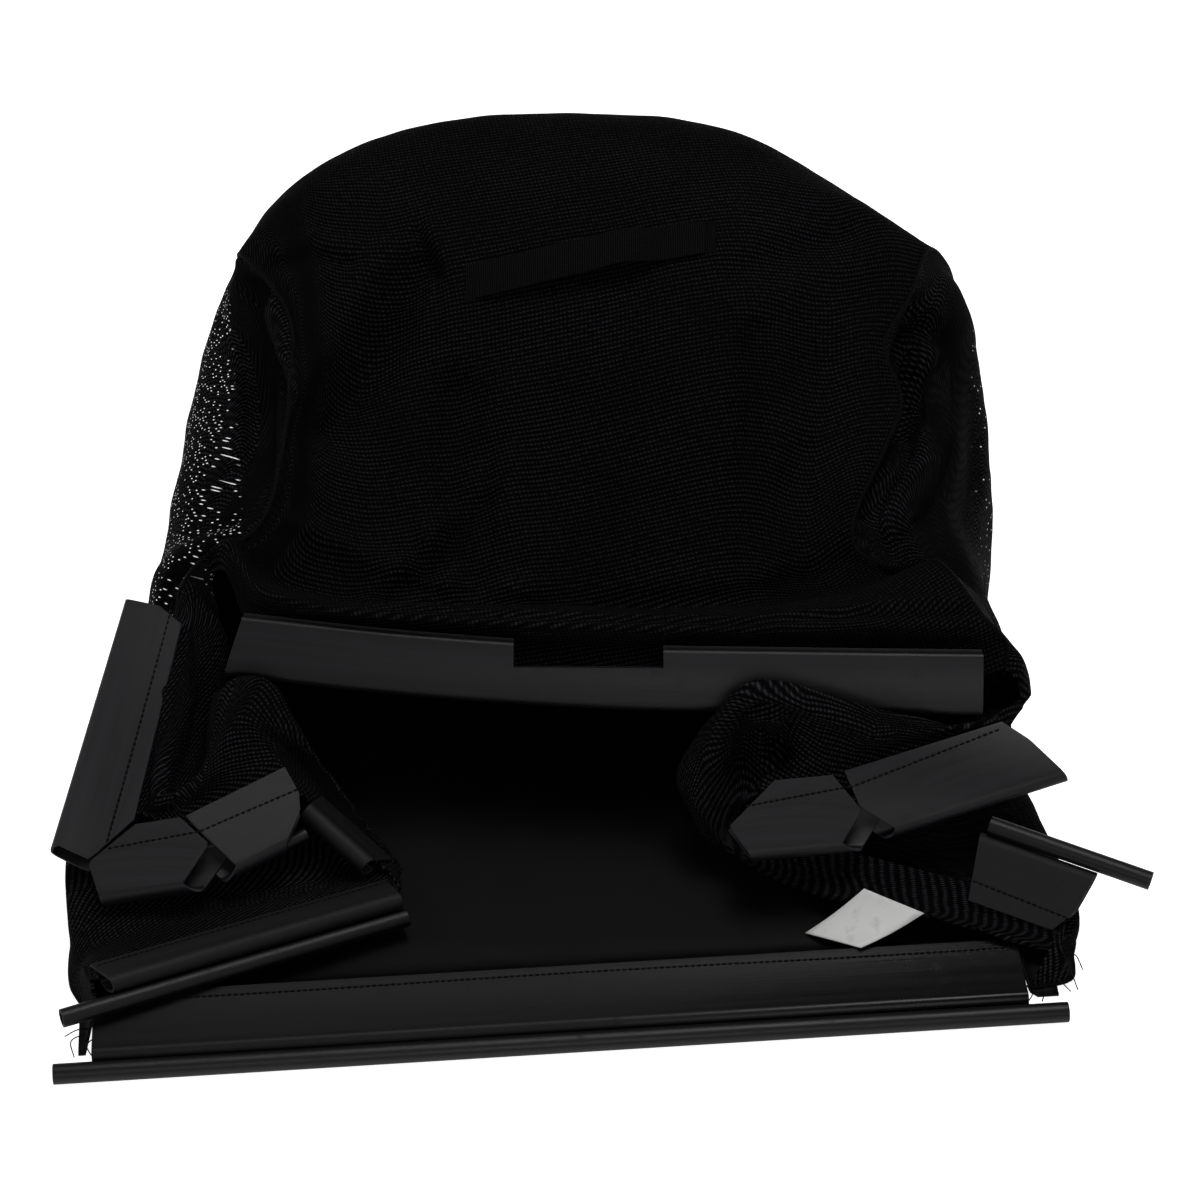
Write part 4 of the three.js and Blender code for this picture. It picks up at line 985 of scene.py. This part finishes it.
class Graph:
    """Short calls for building shader nodes in a tree."""

    def __init__(self, tree):
        self.tree = tree

    def node(self, kind, **values):
        """A new node with its options set."""
        made = self.tree.nodes.new(kind)
        for key, value in values.items():
            setattr(made, key, value)
        return made

    def feed(self, socket, value):
        """Links an output to a socket, or sets the socket's own number."""
        if isinstance(value, bpy.types.NodeSocket):
            self.tree.links.new(value, socket)
        elif value is not None:
            socket.default_value = value

    def math(self, operation, first, second=None, third=None):
        made = self.node("ShaderNodeMath", operation=operation)
        for socket, value in zip(made.inputs, (first, second, third)):
            self.feed(socket, value)
        return made.outputs[0]

    def mix(self, share, first, second):
        made = self.node("ShaderNodeMix", data_type="RGBA")
        self.feed(made.inputs["Factor"], share)
        self.feed(made.inputs[6], first)
        self.feed(made.inputs[7], second)
        return made.outputs[2]

    def noise(self, vector, scale, detail=2.0, rough=0.5):
        made = self.node("ShaderNodeTexNoise")
        self.feed(made.inputs["Vector"], vector)
        made.inputs["Scale"].default_value = scale
        made.inputs["Detail"].default_value = detail
        made.inputs["Roughness"].default_value = rough
        return made.outputs["Fac"]

    def remap(self, value, low, high, to_low=0.0, to_high=1.0):
        """Stretches the span low to high over to_low to to_high and stops at its ends."""
        made = self.node("ShaderNodeMapRange", clamp=True)
        self.feed(made.inputs["Value"], value)
        for name, number in zip(("From Min", "From Max", "To Min", "To Max"),
                                (low, high, to_low, to_high)):
            self.feed(made.inputs[name], number)
        return made.outputs["Result"]

    def split(self, vector):
        made = self.node("ShaderNodeSeparateXYZ")
        self.feed(made.inputs[0], vector)
        return made.outputs

    def scaled(self, vector, unit_length):
        """A place counted in unit lengths."""
        x, y, z = self.split(vector)
        return self.join(*[self.math("DIVIDE", value, unit_length) for value in (x, y, z)])

    def join(self, x, y, z):
        made = self.node("ShaderNodeCombineXYZ")
        for socket, value in zip(made.inputs, (x, y, z)):
            self.feed(socket, value)
        return made.outputs[0]


def new_group(name, inputs, outputs):
    """An empty node group with its sockets; f is a number and v a vector."""
    group = bpy.data.node_groups.new(name, "ShaderNodeTree")
    kinds = {"f": "NodeSocketFloat", "v": "NodeSocketVector"}
    for label, kind, value in inputs:
        socket = group.interface.new_socket(label, in_out="INPUT", socket_type=kinds[kind])
        if value is not None:
            socket.default_value = value
    for label, kind in outputs:
        group.interface.new_socket(label, in_out="OUTPUT", socket_type=kinds[kind])
    graph = Graph(group)
    entry = graph.node("NodeGroupInput")
    leave = graph.node("NodeGroupOutput")
    return group, graph, entry.outputs, leave.inputs


@cache
def knit_group():
    """Loops of a knitted mesh: course ridges, wale columns and the small holes between."""
    group, g, given, out = new_group(
        "Knit loops",
        [("Vector", "v", None), ("Pitch", "f", 0.0022), ("Waver", "f", 0.35)],
        [("Height", "f"), ("Loop", "f"), ("Fuzz", "f")],
    )
    x, y, _ = g.split(given["Vector"])
    drift = g.noise(given["Vector"], 60.0, 1.0)
    drift = g.math("MULTIPLY", g.math("SUBTRACT", drift, 0.5), given["Waver"])
    columns = g.math("ADD", g.math("DIVIDE", x, given["Pitch"]), drift)
    courses = g.math("ADD", g.math("DIVIDE", y, g.math("MULTIPLY", given["Pitch"], 1.15)), drift)
    turn = 2 * math.pi
    wale = g.math("COSINE", g.math("MULTIPLY", columns, turn))
    course = g.math("COSINE", g.math("MULTIPLY", courses, turn))
    ridge = g.math("MULTIPLY_ADD", course, 0.5, 0.5)
    column = g.math("MULTIPLY_ADD", wale, 0.32, 0.68)
    loops = g.math("MULTIPLY", ridge, column)
    spread = g.noise(given["Vector"], 380.0, 2.0)
    tuft = g.math("MULTIPLY", loops, g.remap(spread, 0.3, 0.7, 0.6, 1.25))
    fuzz = g.noise(given["Vector"], 2600.0, 1.0)
    g.feed(out["Height"], g.math("ADD", loops, g.math("MULTIPLY", fuzz, 0.12)))
    g.feed(out["Loop"], g.remap(tuft, 0.12, 0.95))
    g.feed(out["Fuzz"], fuzz)
    return group


@cache
def pinhole_group():
    """Mask of scattered small holes of a stretched mesh; the cloth paints the light from behind
    them as bright, glowing dots.
    """
    group, g, given, out = new_group(
        "Pinholes",
        [("Vector", "v", None), ("Spacing", "f", 0.0042), ("Share", "f", 0.5)],
        [("Mask", "f")],
    )
    cells = g.node("ShaderNodeTexVoronoi", feature="F1", voronoi_dimensions="2D")
    g.feed(cells.inputs["Vector"], g.scaled(given["Vector"], given["Spacing"]))
    cells.inputs["Scale"].default_value = 1.0
    cells.inputs["Randomness"].default_value = 0.7
    dots = g.remap(cells.outputs["Distance"], 0.19, 0.1)
    kept = g.split(cells.outputs["Color"])[0]
    g.feed(out["Mask"], g.math("MULTIPLY", dots, g.math("LESS_THAN", kept, given["Share"])))
    return group


@cache
def strip_group():
    """Fine lines and scuffs that run along an extruded plastic strip, and broad bands of painted
    sheen along it.
    """
    group, g, given, out = new_group(
        "Drawn lines",
        [("Vector", "v", None), ("Lines", "f", 900.0)],
        [("Height", "f"), ("Scuff", "f"), ("Band", "f")],
    )
    x, y, _ = g.split(given["Vector"])
    # Broad noise stretched along the strip: bands of painted sheen, which also vary the roughness
    broad = g.join(g.math("MULTIPLY", x, 160.0), g.math("MULTIPLY", y, 3.0), 0.0)
    g.feed(out["Band"], g.remap(g.noise(broad, 1.0, 3.0, 0.6), 0.3, 0.7))
    flat = g.join(g.math("MULTIPLY", x, given["Lines"]), g.math("MULTIPLY", y, 14.0), 0.0)
    lines = g.noise(flat, 1.0, 3.0, 0.6)
    wear = g.noise(given["Vector"], 120.0, 5.0, 0.7)
    g.feed(out["Height"], lines)
    g.feed(out["Scuff"], g.remap(wear, 0.56, 0.72))
    return group


@cache
def rib_group():
    """Even ribs across a band, as on webbing and corded edges."""
    group, g, given, out = new_group(
        "Ribs",
        [("Along", "f", 0.0), ("Across", "f", 0.0), ("Pitch", "f", 0.0012), ("Yarn", "f", 0.0008)],
        [("Height", "f")],
    )

    def wave(place, pitch):
        turns = g.math("DIVIDE", given[place], given[pitch])
        return g.math("COSINE", g.math("MULTIPLY", turns, 2 * math.pi))

    height = g.math("MULTIPLY_ADD", wave("Along", "Pitch"), 0.5, 0.5)
    height = g.math("ADD", height, g.math("MULTIPLY", wave("Across", "Yarn"), 0.12))
    g.feed(out["Height"], height)
    return group


@cache
def lint_group():
    """Small specks of dust and lint on a dark surface."""
    group, g, given, out = new_group(
        "Lint", [("Vector", "v", None), ("Amount", "f", 0.5)], [("Mask", "f")])
    fine = g.noise(given["Vector"], 420.0, 3.0, 0.8)
    broad = g.noise(given["Vector"], 22.0, 2.0)
    level = g.math("MULTIPLY_ADD", g.math("MULTIPLY", broad, given["Amount"]), -0.1, 0.76)
    specks = g.remap(g.math("SUBTRACT", fine, level), 0.0, 0.03)
    g.feed(out["Mask"], specks)
    return group


def use_group(g, group, **values):
    """Places a group with its inputs and hands back its outputs."""
    made = g.node("ShaderNodeGroup", node_tree=group)
    for key, value in values.items():
        g.feed(made.inputs[key], value)
    return made.outputs


def start_material(name, specular):
    """A new material with its graph, shader, object coordinates and cloth UV."""
    material = bpy.data.materials.new(name)
    material.use_nodes = True
    g = Graph(material.node_tree)
    shader = material.node_tree.nodes["Principled BSDF"]
    shader.inputs["Specular IOR Level"].default_value = specular
    coordinates = g.node("ShaderNodeTexCoord")
    uv = g.node("ShaderNodeUVMap", uv_map="cloth").outputs[0]
    return material, g, shader, coordinates.outputs["Object"], uv


def join_surface(g, shader, colour, rough, height, distance, strength):
    """Joins the colour, the roughness and the relief to the shader."""
    g.feed(shader.inputs["Base Color"], colour)
    g.feed(shader.inputs["Roughness"], rough)
    made = g.node("ShaderNodeBump")
    made.inputs["Distance"].default_value = distance
    made.inputs["Strength"].default_value = strength
    g.feed(made.inputs["Height"], height)
    g.feed(shader.inputs["Normal"], made.outputs[0])


def rgba(colour, factor=1.0):
    """A colour made darker or lighter, with full alpha."""
    return (*[channel * factor for channel in colour[:3]], 1.0)


# Colour of dust and lint on the dark pieces
DUST = (0.03, 0.03, 0.03, 1.0)


@cache
def knit_material(painted_light_through):
    """The knitted cloth with painted sheen on its loops and painted shade in the gaps; on the sides
    the loops are painted lighter and bright, glowing dots are painted where light comes through the
    stretched mesh.
    """
    name = "Stretched knitted mesh" if painted_light_through else "Knitted mesh"
    cloth = bpy.context.scene.grass_cloth
    # On the sides the loop tops are painted 1.7 times lighter, as light coming through the
    # stretched mesh
    peak = rgba(cloth.colour, 1.7 if painted_light_through else 1.0)
    material, g, shader, spot, uv = start_material(name, 0.05)
    loops = use_group(g, knit_group(), Vector=uv, Pitch=cloth.pitch)
    # Painted light and shade: the loop tops are painted lighter as sheen and the gaps between loops
    # nearly black as shade, with broad noise in the sheen's strength
    broad = g.noise(spot, 16.0, 3.0, 0.6)
    strength = g.remap(broad, 0.3, 0.7, 0.65, 1.35)
    painted_loop_sheen = g.math("MULTIPLY", g.math("POWER", loops["Loop"], 1.5), strength)
    painted_sheen_and_shade = g.mix(painted_loop_sheen, rgba(cloth.colour, 0.03), peak)
    lint = use_group(g, lint_group(), Vector=spot, Amount=0.4)
    colour = g.mix(g.math("MULTIPLY", lint["Mask"], 0.5), painted_sheen_and_shade, DUST)
    if painted_light_through:
        x, y, z = g.split(spot)
        wall = g.math("SUBTRACT", g.math("MULTIPLY_ADD", y, -0.1, -0.191), x)
        left = g.math("MULTIPLY", g.remap(wall, 0.0, 0.002), g.remap(y, -0.035, -0.02))
        left = g.math("MULTIPLY", left, g.remap(z, 0.012, 0.03))
        right = g.math("MULTIPLY", g.remap(x, 0.205, 0.215), g.remap(y, -0.06, -0.02))
        down = g.math("MULTIPLY_ADD", g.math("ABSOLUTE", x), -0.37, g.math("MULTIPLY", z, 0.93))
        wall_place = g.join(y, down, 0.0)
        many = use_group(g, pinhole_group(), Vector=wall_place, Spacing=0.0022, Share=0.42)
        few = use_group(g, pinhole_group(), Vector=wall_place, Spacing=0.003, Share=0.12)
        holes = g.math("MAXIMUM", g.math("MULTIPLY", many["Mask"], left),
                       g.math("MULTIPLY", few["Mask"], right))
        # Painted light: the holes get a pale colour and a glow, as light from behind shining
        # through them
        colour = g.mix(holes, colour, (0.8, 0.8, 0.8, 1.0))
        g.feed(shader.inputs["Emission Color"], g.mix(holes, (0, 0, 0, 1), (0.85, 0.85, 0.85, 1)))
        shader.inputs["Emission Strength"].default_value = 0.6
    rough = g.remap(loops["Fuzz"], 0.3, 0.7, 0.75, 0.95)
    join_surface(g, shader, colour, rough, loops["Height"], 0.0012, 1.0)
    return material


# Plastics of the strips: name, share of the set colour, added roughness and gloss; the low shares
# of the clips by the floor and of the front clip are painted shade on the same plastic
PLASTICS = {
    "clip": ("Clip plastic", 1.0, 0.0, 0.35),
    "low": ("Clip plastic by the floor", 0.35, 0.15, 0.35),
    "front": ("Front clip plastic", 0.5, 0.05, 0.28),
    "cut": ("Cut edge", 3.5, 0.2, 0.35),
    "tube": ("Tube plastic", 0.45, -0.05, 0.35),
}


@cache
def plastic_material(kind):
    """Extruded plastic with drawn lines, scuffs and broad bands of painted sheen along it, some
    kinds darker as painted shade; the front clip's right end is smoother.
    """
    name, share, duller, specular = PLASTICS[kind]
    strip = bpy.context.scene.grass_strip
    colour = rgba(strip.colour, share)
    material, g, shader, spot, uv = start_material(name, specular)
    drawn = use_group(g, strip_group(), Vector=uv)
    grain = g.noise(spot, 900.0, 2.0)
    # Painted sheen: the colour goes from dark to light in broad bands along the strip
    painted_sheen_colour = g.mix(drawn["Band"], rgba(colour, 0.35), rgba(colour, 1.7))
    sheen_and_scuffs = g.mix(g.math("MULTIPLY", drawn["Scuff"], 0.3), painted_sheen_colour, rgba(colour, 2.6))
    rough = g.math("MULTIPLY_ADD", drawn["Scuff"], 0.15, strip.roughness + duller)
    rough = g.math("MULTIPLY_ADD", drawn["Band"], 0.12, rough)
    if kind == "front":
        rough = g.math("MULTIPLY", rough, g.remap(g.split(spot)[0], -0.02, 0.2, 1.0, 0.4))
    rough = g.math("MULTIPLY_ADD", grain, 0.06, rough)
    height = g.math("ADD", drawn["Height"], g.math("MULTIPLY", grain, 0.4))
    join_surface(g, shader, sheen_and_scuffs, rough, height, 0.00012, 0.5)
    return material


@cache
def vinyl_material():
    """Smooth, slightly wavy floor sheet."""
    floor = bpy.context.scene.grass_floor
    material, g, shader, spot, _ = start_material("Floor vinyl", 0.12)
    grain = g.noise(spot, 1400.0, 2.0)
    waves = g.noise(spot, 28.0, 3.0, 0.5)
    lint = use_group(g, lint_group(), Vector=spot, Amount=0.8)
    colour = g.mix(g.math("MULTIPLY", lint["Mask"], 0.4), rgba(floor.colour), DUST)
    height = g.math("ADD", waves, g.math("MULTIPLY", grain, 0.12))
    join_surface(g, shader, colour, g.remap(waves, 0.3, 0.7, 0.44, 0.62), height, 0.0005, 0.4)
    return material


# Ribbed bands: name, settings, shades of the grooves and ribs, whether the ribs lie across the
# length, their pitch, the yarn's pitch, roughness of the grooves, depth and strength of the relief
BANDS = {
    "binding": ("Seam binding", "grass_seam", (0.5, 1.0), True,
                0.0016, 0.0008, 0.7, (0.0004, 0.8)),
    "webbing": ("Strap webbing", "grass_strap", (0.1, 1.1), False,
                0.00125, 0.0016, 0.75, (0.0005, 0.9)),
}


@cache
def band_material(kind):
    """Binding and webbing, with their even cross ribs."""
    name, settings, shades, lengthwise, pitch, yarn, dull, relief = BANDS[kind]
    base = getattr(bpy.context.scene, settings).colour
    material, g, shader, _, uv = start_material(name, 0.05)
    x, y, _ = g.split(uv)
    along, across = (y, x) if lengthwise else (x, y)
    rib = use_group(g, rib_group(), Along=along, Across=across, Pitch=pitch, Yarn=yarn)["Height"]
    colour = g.mix(rib, rgba(base, shades[0]), rgba(base, shades[1]))
    join_surface(g, shader, colour, g.remap(rib, 0, 1, dull, 0.5), rib, *relief)
    return material


@cache
def label_material():
    """White woven tape, a little soiled."""
    material, g, shader, spot, uv = start_material("Label tape", 0.4)
    x, y, _ = g.split(uv)
    weave = use_group(g, rib_group(), Along=x, Across=y, Pitch=0.0005, Yarn=0.0005)
    soil = g.noise(spot, 90.0, 4.0, 0.6)
    colour = g.mix(g.remap(soil, 0.55, 0.8), (0.82, 0.82, 0.81, 1.0), (0.6, 0.6, 0.58, 1.0))
    rough = g.remap(soil, 0.3, 0.7, 0.45, 0.6)
    join_surface(g, shader, colour, rough, weave["Height"], 0.0001, 0.4)
    return material


@cache
def thread_material():
    """Twisted thread of the stitches."""
    stitch = bpy.context.scene.grass_stitch
    material, g, shader, spot, _ = start_material("Sewing thread", 0.1)
    twist = g.noise(spot, 2500.0, 1.0)
    colour = g.mix(twist, rgba(stitch.colour, 0.6), rgba(stitch.colour, 1.4))
    join_surface(g, shader, colour, g.remap(twist, 0.3, 0.7, 0.35, 0.5), twist, 0.0001, 0.6)
    return material


# Settings


def colour_setting(name, description, default):
    """A colour that a user can change."""
    return bpy.props.FloatVectorProperty(
        name=name, description=description, subtype="COLOR", size=3, min=0, max=1, default=default)


def length_setting(name, description, default):
    """A length in metres that a user can change."""
    return bpy.props.FloatProperty(
        name=name, description=description, unit="LENGTH", precision=4, default=default)


class ClothSettings(bpy.types.PropertyGroup):
    """Sizes and colour of the knitted panels"""

    thickness: length_setting("Thickness", "Thickness of the knitted cloth", 0.002)
    pitch: length_setting("Loop pitch", "Distance from loop to loop", 0.0022)
    crumple: length_setting("Crumple", "Depth of the small unevenness of the cloth", 0.0012)
    colour: colour_setting("Colour", "Colour of the knitted cloth", (0.021, 0.021, 0.0242))


class FloorSettings(bpy.types.PropertyGroup):
    """Thickness and colour of the vinyl floor sheet"""

    thickness: length_setting("Thickness", "Thickness of the vinyl sheet", 0.0016)
    colour: colour_setting("Colour", "Colour of the vinyl", (0.0025, 0.0025, 0.003))


class SeamSettings(bpy.types.PropertyGroup):
    """Size and colour of the corded seams"""

    radius: length_setting("Radius", "Radius of a bound seam", 0.0013)
    colour: colour_setting("Colour", "Colour of the binding", (0.0045, 0.0045, 0.005))


class StripSettings(bpy.types.PropertyGroup):
    """Sizes and colour of the clip strips and tubes"""

    wall: length_setting("Wall", "Wall thickness of the clip strips", 0.0016)
    tube_wall: length_setting("Tube wall", "Wall thickness of the tubes", 0.0014)
    roughness: bpy.props.FloatProperty(
        name="Roughness", description="Roughness of the strips' plastic",
        min=0, max=1, default=0.38)
    colour: colour_setting("Colour", "Colour of the strips' plastic", (0.005, 0.0048, 0.0066))


class StrapSettings(bpy.types.PropertyGroup):
    """Sizes and colour of the handle strap"""

    width: length_setting("Width", "Width of the webbing", 0.020)
    thickness: length_setting("Thickness", "Thickness of the webbing", 0.0018)
    rise: length_setting("Rise", "Height of the loose middle over the cloth", 0.007)
    colour: colour_setting("Colour", "Colour of the webbing", (0.006, 0.006, 0.0066))


class StitchSettings(bpy.types.PropertyGroup):
    """Sizes and colour of the sewing thread"""

    radius: length_setting("Thread radius", "Radius of a stitch", 0.00063)
    pitch: length_setting("Stitch pitch", "Distance from stitch to stitch", 0.0032)
    colour: colour_setting("Colour", "Colour of the thread", (0.0012, 0.0012, 0.0014))


SETTINGS = {
    "grass_cloth": ClothSettings,
    "grass_floor": FloorSettings,
    "grass_seam": SeamSettings,
    "grass_strip": StripSettings,
    "grass_strap": StrapSettings,
    "grass_stitch": StitchSettings,
}


# Operators


class GRASSBAG_OT_top_panel(bpy.types.Operator):
    """Build the knitted top and rear panel with its folds"""

    bl_idname = "grass_bag.top_panel"
    bl_label = "Top and rear panel"

    def execute(self, context):
        smooth = top_surface(np.linspace(0, 1, 181), np.linspace(0, 1, 261))
        add_cloth("knitted_top", "top_rear_panel", smooth, 38, 3, TOP_CREASES, False, -13,
                  knit_material(False))
        return {"FINISHED"}


class GRASSBAG_OT_side_panels(bpy.types.Operator):
    """Build the two knitted side panels with their folds"""

    bl_idname = "grass_bag.side_panels"
    bl_label = "Side panels"

    def execute(self, context):
        left, right, _ = seams()
        a, b = np.linspace(0, 1, 141), np.linspace(0, 1, 181)
        for side, rims, rows, seam, seed, creases, turn, width in (
            ("left", LEFT_RIMS, LEFT_ROWS, left, 11, LEFT_CREASES, 28, 0.30),
            ("right", RIGHT_RIMS, RIGHT_ROWS, right, 17, RIGHT_CREASES, -28, 0.33),
        ):
            smooth = side_surface(rims, rows, seam, a, b)
            add_cloth(f"knitted_{side}_side", f"{side}_side_panel", smooth, 30, seed, creases,
                      side == "left", turn, knit_material(True))
        return {"FINISHED"}


class GRASSBAG_OT_floor(bpy.types.Operator):
    """Build the vinyl floor sheet"""

    bl_idname = "grass_bag.floor"
    bl_label = "Vinyl floor"

    def execute(self, context):
        grid = floor_grid(np.linspace(0, 1, 141), np.linspace(0, 1, 81))
        piece = add_piece("vinyl_floor", grid_mesh(grid), [vinyl_material()],
                          ["floor_panel"])
        thicken(piece, context.scene.grass_floor.thickness / MM)
        return {"FINISHED"}


class GRASSBAG_OT_seams(bpy.types.Operator):
    """Build the corded seams between the panels"""

    bl_idname = "grass_bag.seams"
    bl_label = "Corded seams"

    def execute(self, context):
        left, right, _ = seams()
        left_foot, right_foot, rear = feet()
        lines = {
            "left_top_seam": (left, 0, 0.985),
            "right_top_seam": (right, 0, 0.985),
            "left_floor_seam": (left_foot, 0, 0.99),
            "right_floor_seam": (right_foot, 0, 0.99),
            "rear_floor_seam": (rear, 0.01, 0.99),
        }
        radius = context.scene.grass_seam.radius / MM
        for name, (line, start, end) in lines.items():
            points = spline(line, np.linspace(start, end, 160))
            bm = pipe_mesh(points, radius, 12, closed=True)
            add_piece(f"{name}_cord", bm, [band_material("binding")], [name])
        return {"FINISHED"}


class GRASSBAG_OT_clips(bpy.types.Operator):
    """Build the plastic clip strips round the mouth"""

    bl_idname = "grass_bag.clips"
    bl_label = "Clip strips"

    def execute(self, context):
        wall = context.scene.grass_strip.wall / MM
        meshes = {"top_clip": top_clip_mesh()}
        for name, strip in STRIPS.items():
            meshes[name] = grid_mesh(strip_grid(strip, np.linspace(0, 1, 33)))
        meshes["front_clip"] = grid_mesh(front_clip_grid(np.linspace(0, 1, 81)))
        for name, bm in meshes.items():
            plastics = [plastic_material(CLIP_KINDS.get(name, "clip")), plastic_material("cut")]
            piece = add_piece(f"{name}_strip", bm, plastics, [name])
            thicken(piece, wall, 1)
            soften_edges(piece, 0.25)
        return {"FINISHED"}


class GRASSBAG_OT_tubes(bpy.types.Operator):
    """Build the hollow tubes at the foot of the mouth"""

    bl_idname = "grass_bag.tubes"
    bl_label = "Tubes"

    def execute(self, context):
        wall = context.scene.grass_strip.tube_wall / MM
        for name, (ends, radius) in TUBES.items():
            points = polyline(ends, np.linspace(0, 1, 41))
            bm = pipe_mesh(points, radius - wall / 2, 40)
            plastics = [plastic_material("tube"), plastic_material("cut")]
            piece = add_piece(f"{name}_pipe", bm, plastics, [name])
            thicken(piece, wall, 1)
            soften_edges(piece, 0.2)
        return {"FINISHED"}


class GRASSBAG_OT_strap(bpy.types.Operator):
    """Build the webbing strap on the top panel"""

    bl_idname = "grass_bag.strap"
    bl_label = "Handle strap"

    def execute(self, context):
        strap = context.scene.grass_strap
        grid = strap_grid(strap.width / MM, strap.rise / MM)
        piece = add_piece("webbing_strap", grid_mesh(grid), [band_material("webbing")],
                          ["handle_strap"])
        thicken(piece, strap.thickness / MM)
        soften_edges(piece, 0.3)
        return {"FINISHED"}


class GRASSBAG_OT_label(bpy.types.Operator):
    """Build the bare cloth label"""

    bl_idname = "grass_bag.label"
    bl_label = "Bare label"

    def execute(self, context):
        piece = add_piece("bare_label", grid_mesh(label_grid()), [label_material()],
                          ["blank_label"])
        thicken(piece, LABEL_THICKNESS)
        return {"FINISHED"}


class GRASSBAG_OT_stitches(bpy.types.Operator):
    """Build the stitches on the strips and the loose threads at the torn corners"""

    bl_idname = "grass_bag.stitches"
    bl_label = "Stitches and loose threads"

    def execute(self, context):
        stitch = context.scene.grass_stitch
        pitch, radius = stitch.pitch / MM, stitch.radius / MM
        thread = [thread_material()]
        for name in (*STITCH_LINES, "front_clip"):
            bm = bmesh.new()
            if name == "front_clip":
                front_stitches(bm, pitch, radius)
            else:
                strip_stitches(bm, STRIPS[name], STITCH_LINES[name], pitch, radius)
            add_piece(f"{name}_stitches", bm, thread)
        for k, points in enumerate(FRAYS):
            line = spline(np.array(points, float) - ORIGIN, np.linspace(0, 1, 14))
            bm = pipe_mesh(line, radius / 2, 8, closed=True)
            add_piece(f"loose_thread_{k + 1}", bm, thread)
        return {"FINISHED"}


# Lights: name, place in metres, size and power
LAMPS = (
    ("overhead", (0.2, 0.25, 2.05), 1.0, 15.0),
    ("left", (-1.5, 0.1, 1.2), 0.8, 4.0),
    ("right", (1.5, 0.1, 1.4), 0.8, 0.8),
    ("front", (0.15, -2.0, 1.3), 1.0, 6.8),
)
LAMP_TARGET = Vector((0, 0, 0.08))
# The photograph's camera: what it looks at, how far off and how steeply it looks down
CAMERA_TARGET = Vector((0.0002, -0.0418, 0.1))
CAMERA_DISTANCE = 1.9
CAMERA_DOWN = 42
CAMERA_LENS = 107.79


class GRASSBAG_OT_stage(bpy.types.Operator):
    """Set up the pale floor, the lights and the camera"""

    bl_idname = "grass_bag.stage"
    bl_label = "Floor, lights and camera"

    def execute(self, context):
        scene = context.scene
        bm = bmesh.new()
        bmesh.ops.create_grid(bm, x_segments=1, y_segments=1, size=6)
        mesh = bpy.data.meshes.new("floor")
        bm.to_mesh(mesh)
        bm.free()
        floor = bpy.data.objects.new("floor", mesh)
        scene.collection.objects.link(floor)
        material, g, shader, spot, _ = start_material("Pale floor", 0.1)
        shader.inputs["Roughness"].default_value = 0.9
        tone = g.mix(g.noise(spot, 2.0, 2.0), (0.93, 0.93, 0.93, 1.0), (0.96, 0.96, 0.96, 1.0))
        g.feed(shader.inputs["Base Color"], tone)
        shader.inputs["Emission Color"].default_value = (1.0, 1.0, 1.0, 1.0)
        seen = g.node("ShaderNodeLightPath").outputs["Is Camera Ray"]
        g.feed(shader.inputs["Emission Strength"], g.remap(seen, 0, 1, 0.3, 0.9))
        mesh.materials.append(material)

        for name, spot, size, power in LAMPS:
            light = bpy.data.lights.new(name, "AREA")
            light.energy = power
            light.size = size
            lamp = bpy.data.objects.new(name, light)
            lamp.location = spot
            towards = LAMP_TARGET - Vector(spot)
            lamp.rotation_euler = towards.to_track_quat("-Z", "Y").to_euler()
            scene.collection.objects.link(lamp)

        world = scene.world or bpy.data.worlds.new("World")
        scene.world = world
        world.use_nodes = True
        sky = world.node_tree.nodes["Background"]
        sky.inputs["Color"].default_value = (1.0, 1.0, 1.0, 1.0)
        sky.inputs["Strength"].default_value = 0.12
        scene.view_settings.view_transform = "Standard"

        angle = math.radians(CAMERA_DOWN)
        forward = Vector((0, math.cos(angle), -math.sin(angle)))
        camera = bpy.data.cameras.new("camera")
        camera.lens = CAMERA_LENS
        camera.sensor_width = 36
        view = bpy.data.objects.new("camera", camera)
        view.location = CAMERA_TARGET - forward * CAMERA_DISTANCE
        view.rotation_euler = forward.to_track_quat("-Z", "Y").to_euler()
        scene.collection.objects.link(view)
        scene.camera = view
        return {"FINISHED"}


class GRASSBAG_PT_panel(bpy.types.Panel):
    """Sizes, colours and the pieces of the grass bag"""

    bl_label = "Grass bag"
    bl_idname = "GRASSBAG_PT_panel"
    bl_space_type = "VIEW_3D"
    bl_region_type = "UI"
    bl_category = "Grass bag"

    def draw(self, context):
        for key, group in SETTINGS.items():
            settings = getattr(context.scene, key)
            for field in group.__annotations__:
                self.layout.prop(settings, field)
        for operator in OPERATORS:
            self.layout.operator(operator.bl_idname)


OPERATORS = (
    GRASSBAG_OT_top_panel,
    GRASSBAG_OT_side_panels,
    GRASSBAG_OT_floor,
    GRASSBAG_OT_seams,
    GRASSBAG_OT_clips,
    GRASSBAG_OT_tubes,
    GRASSBAG_OT_strap,
    GRASSBAG_OT_label,
    GRASSBAG_OT_stitches,
    GRASSBAG_OT_stage,
)


def register():
    for made in (*SETTINGS.values(), *OPERATORS, GRASSBAG_PT_panel):
        bpy.utils.register_class(made)
    for key, group in SETTINGS.items():
        setattr(bpy.types.Scene, key, bpy.props.PointerProperty(type=group))


def unregister():
    for key in SETTINGS:
        delattr(bpy.types.Scene, key)
    for made in (GRASSBAG_PT_panel, *reversed(OPERATORS), *reversed(SETTINGS.values())):
        bpy.utils.unregister_class(made)


def main():
    """Builds the bag and its stage."""
    register()
    for operator in OPERATORS:
        group, name = operator.bl_idname.split(".")
        getattr(getattr(bpy.ops, group), name)()


if __name__ == "__main__":
    main()
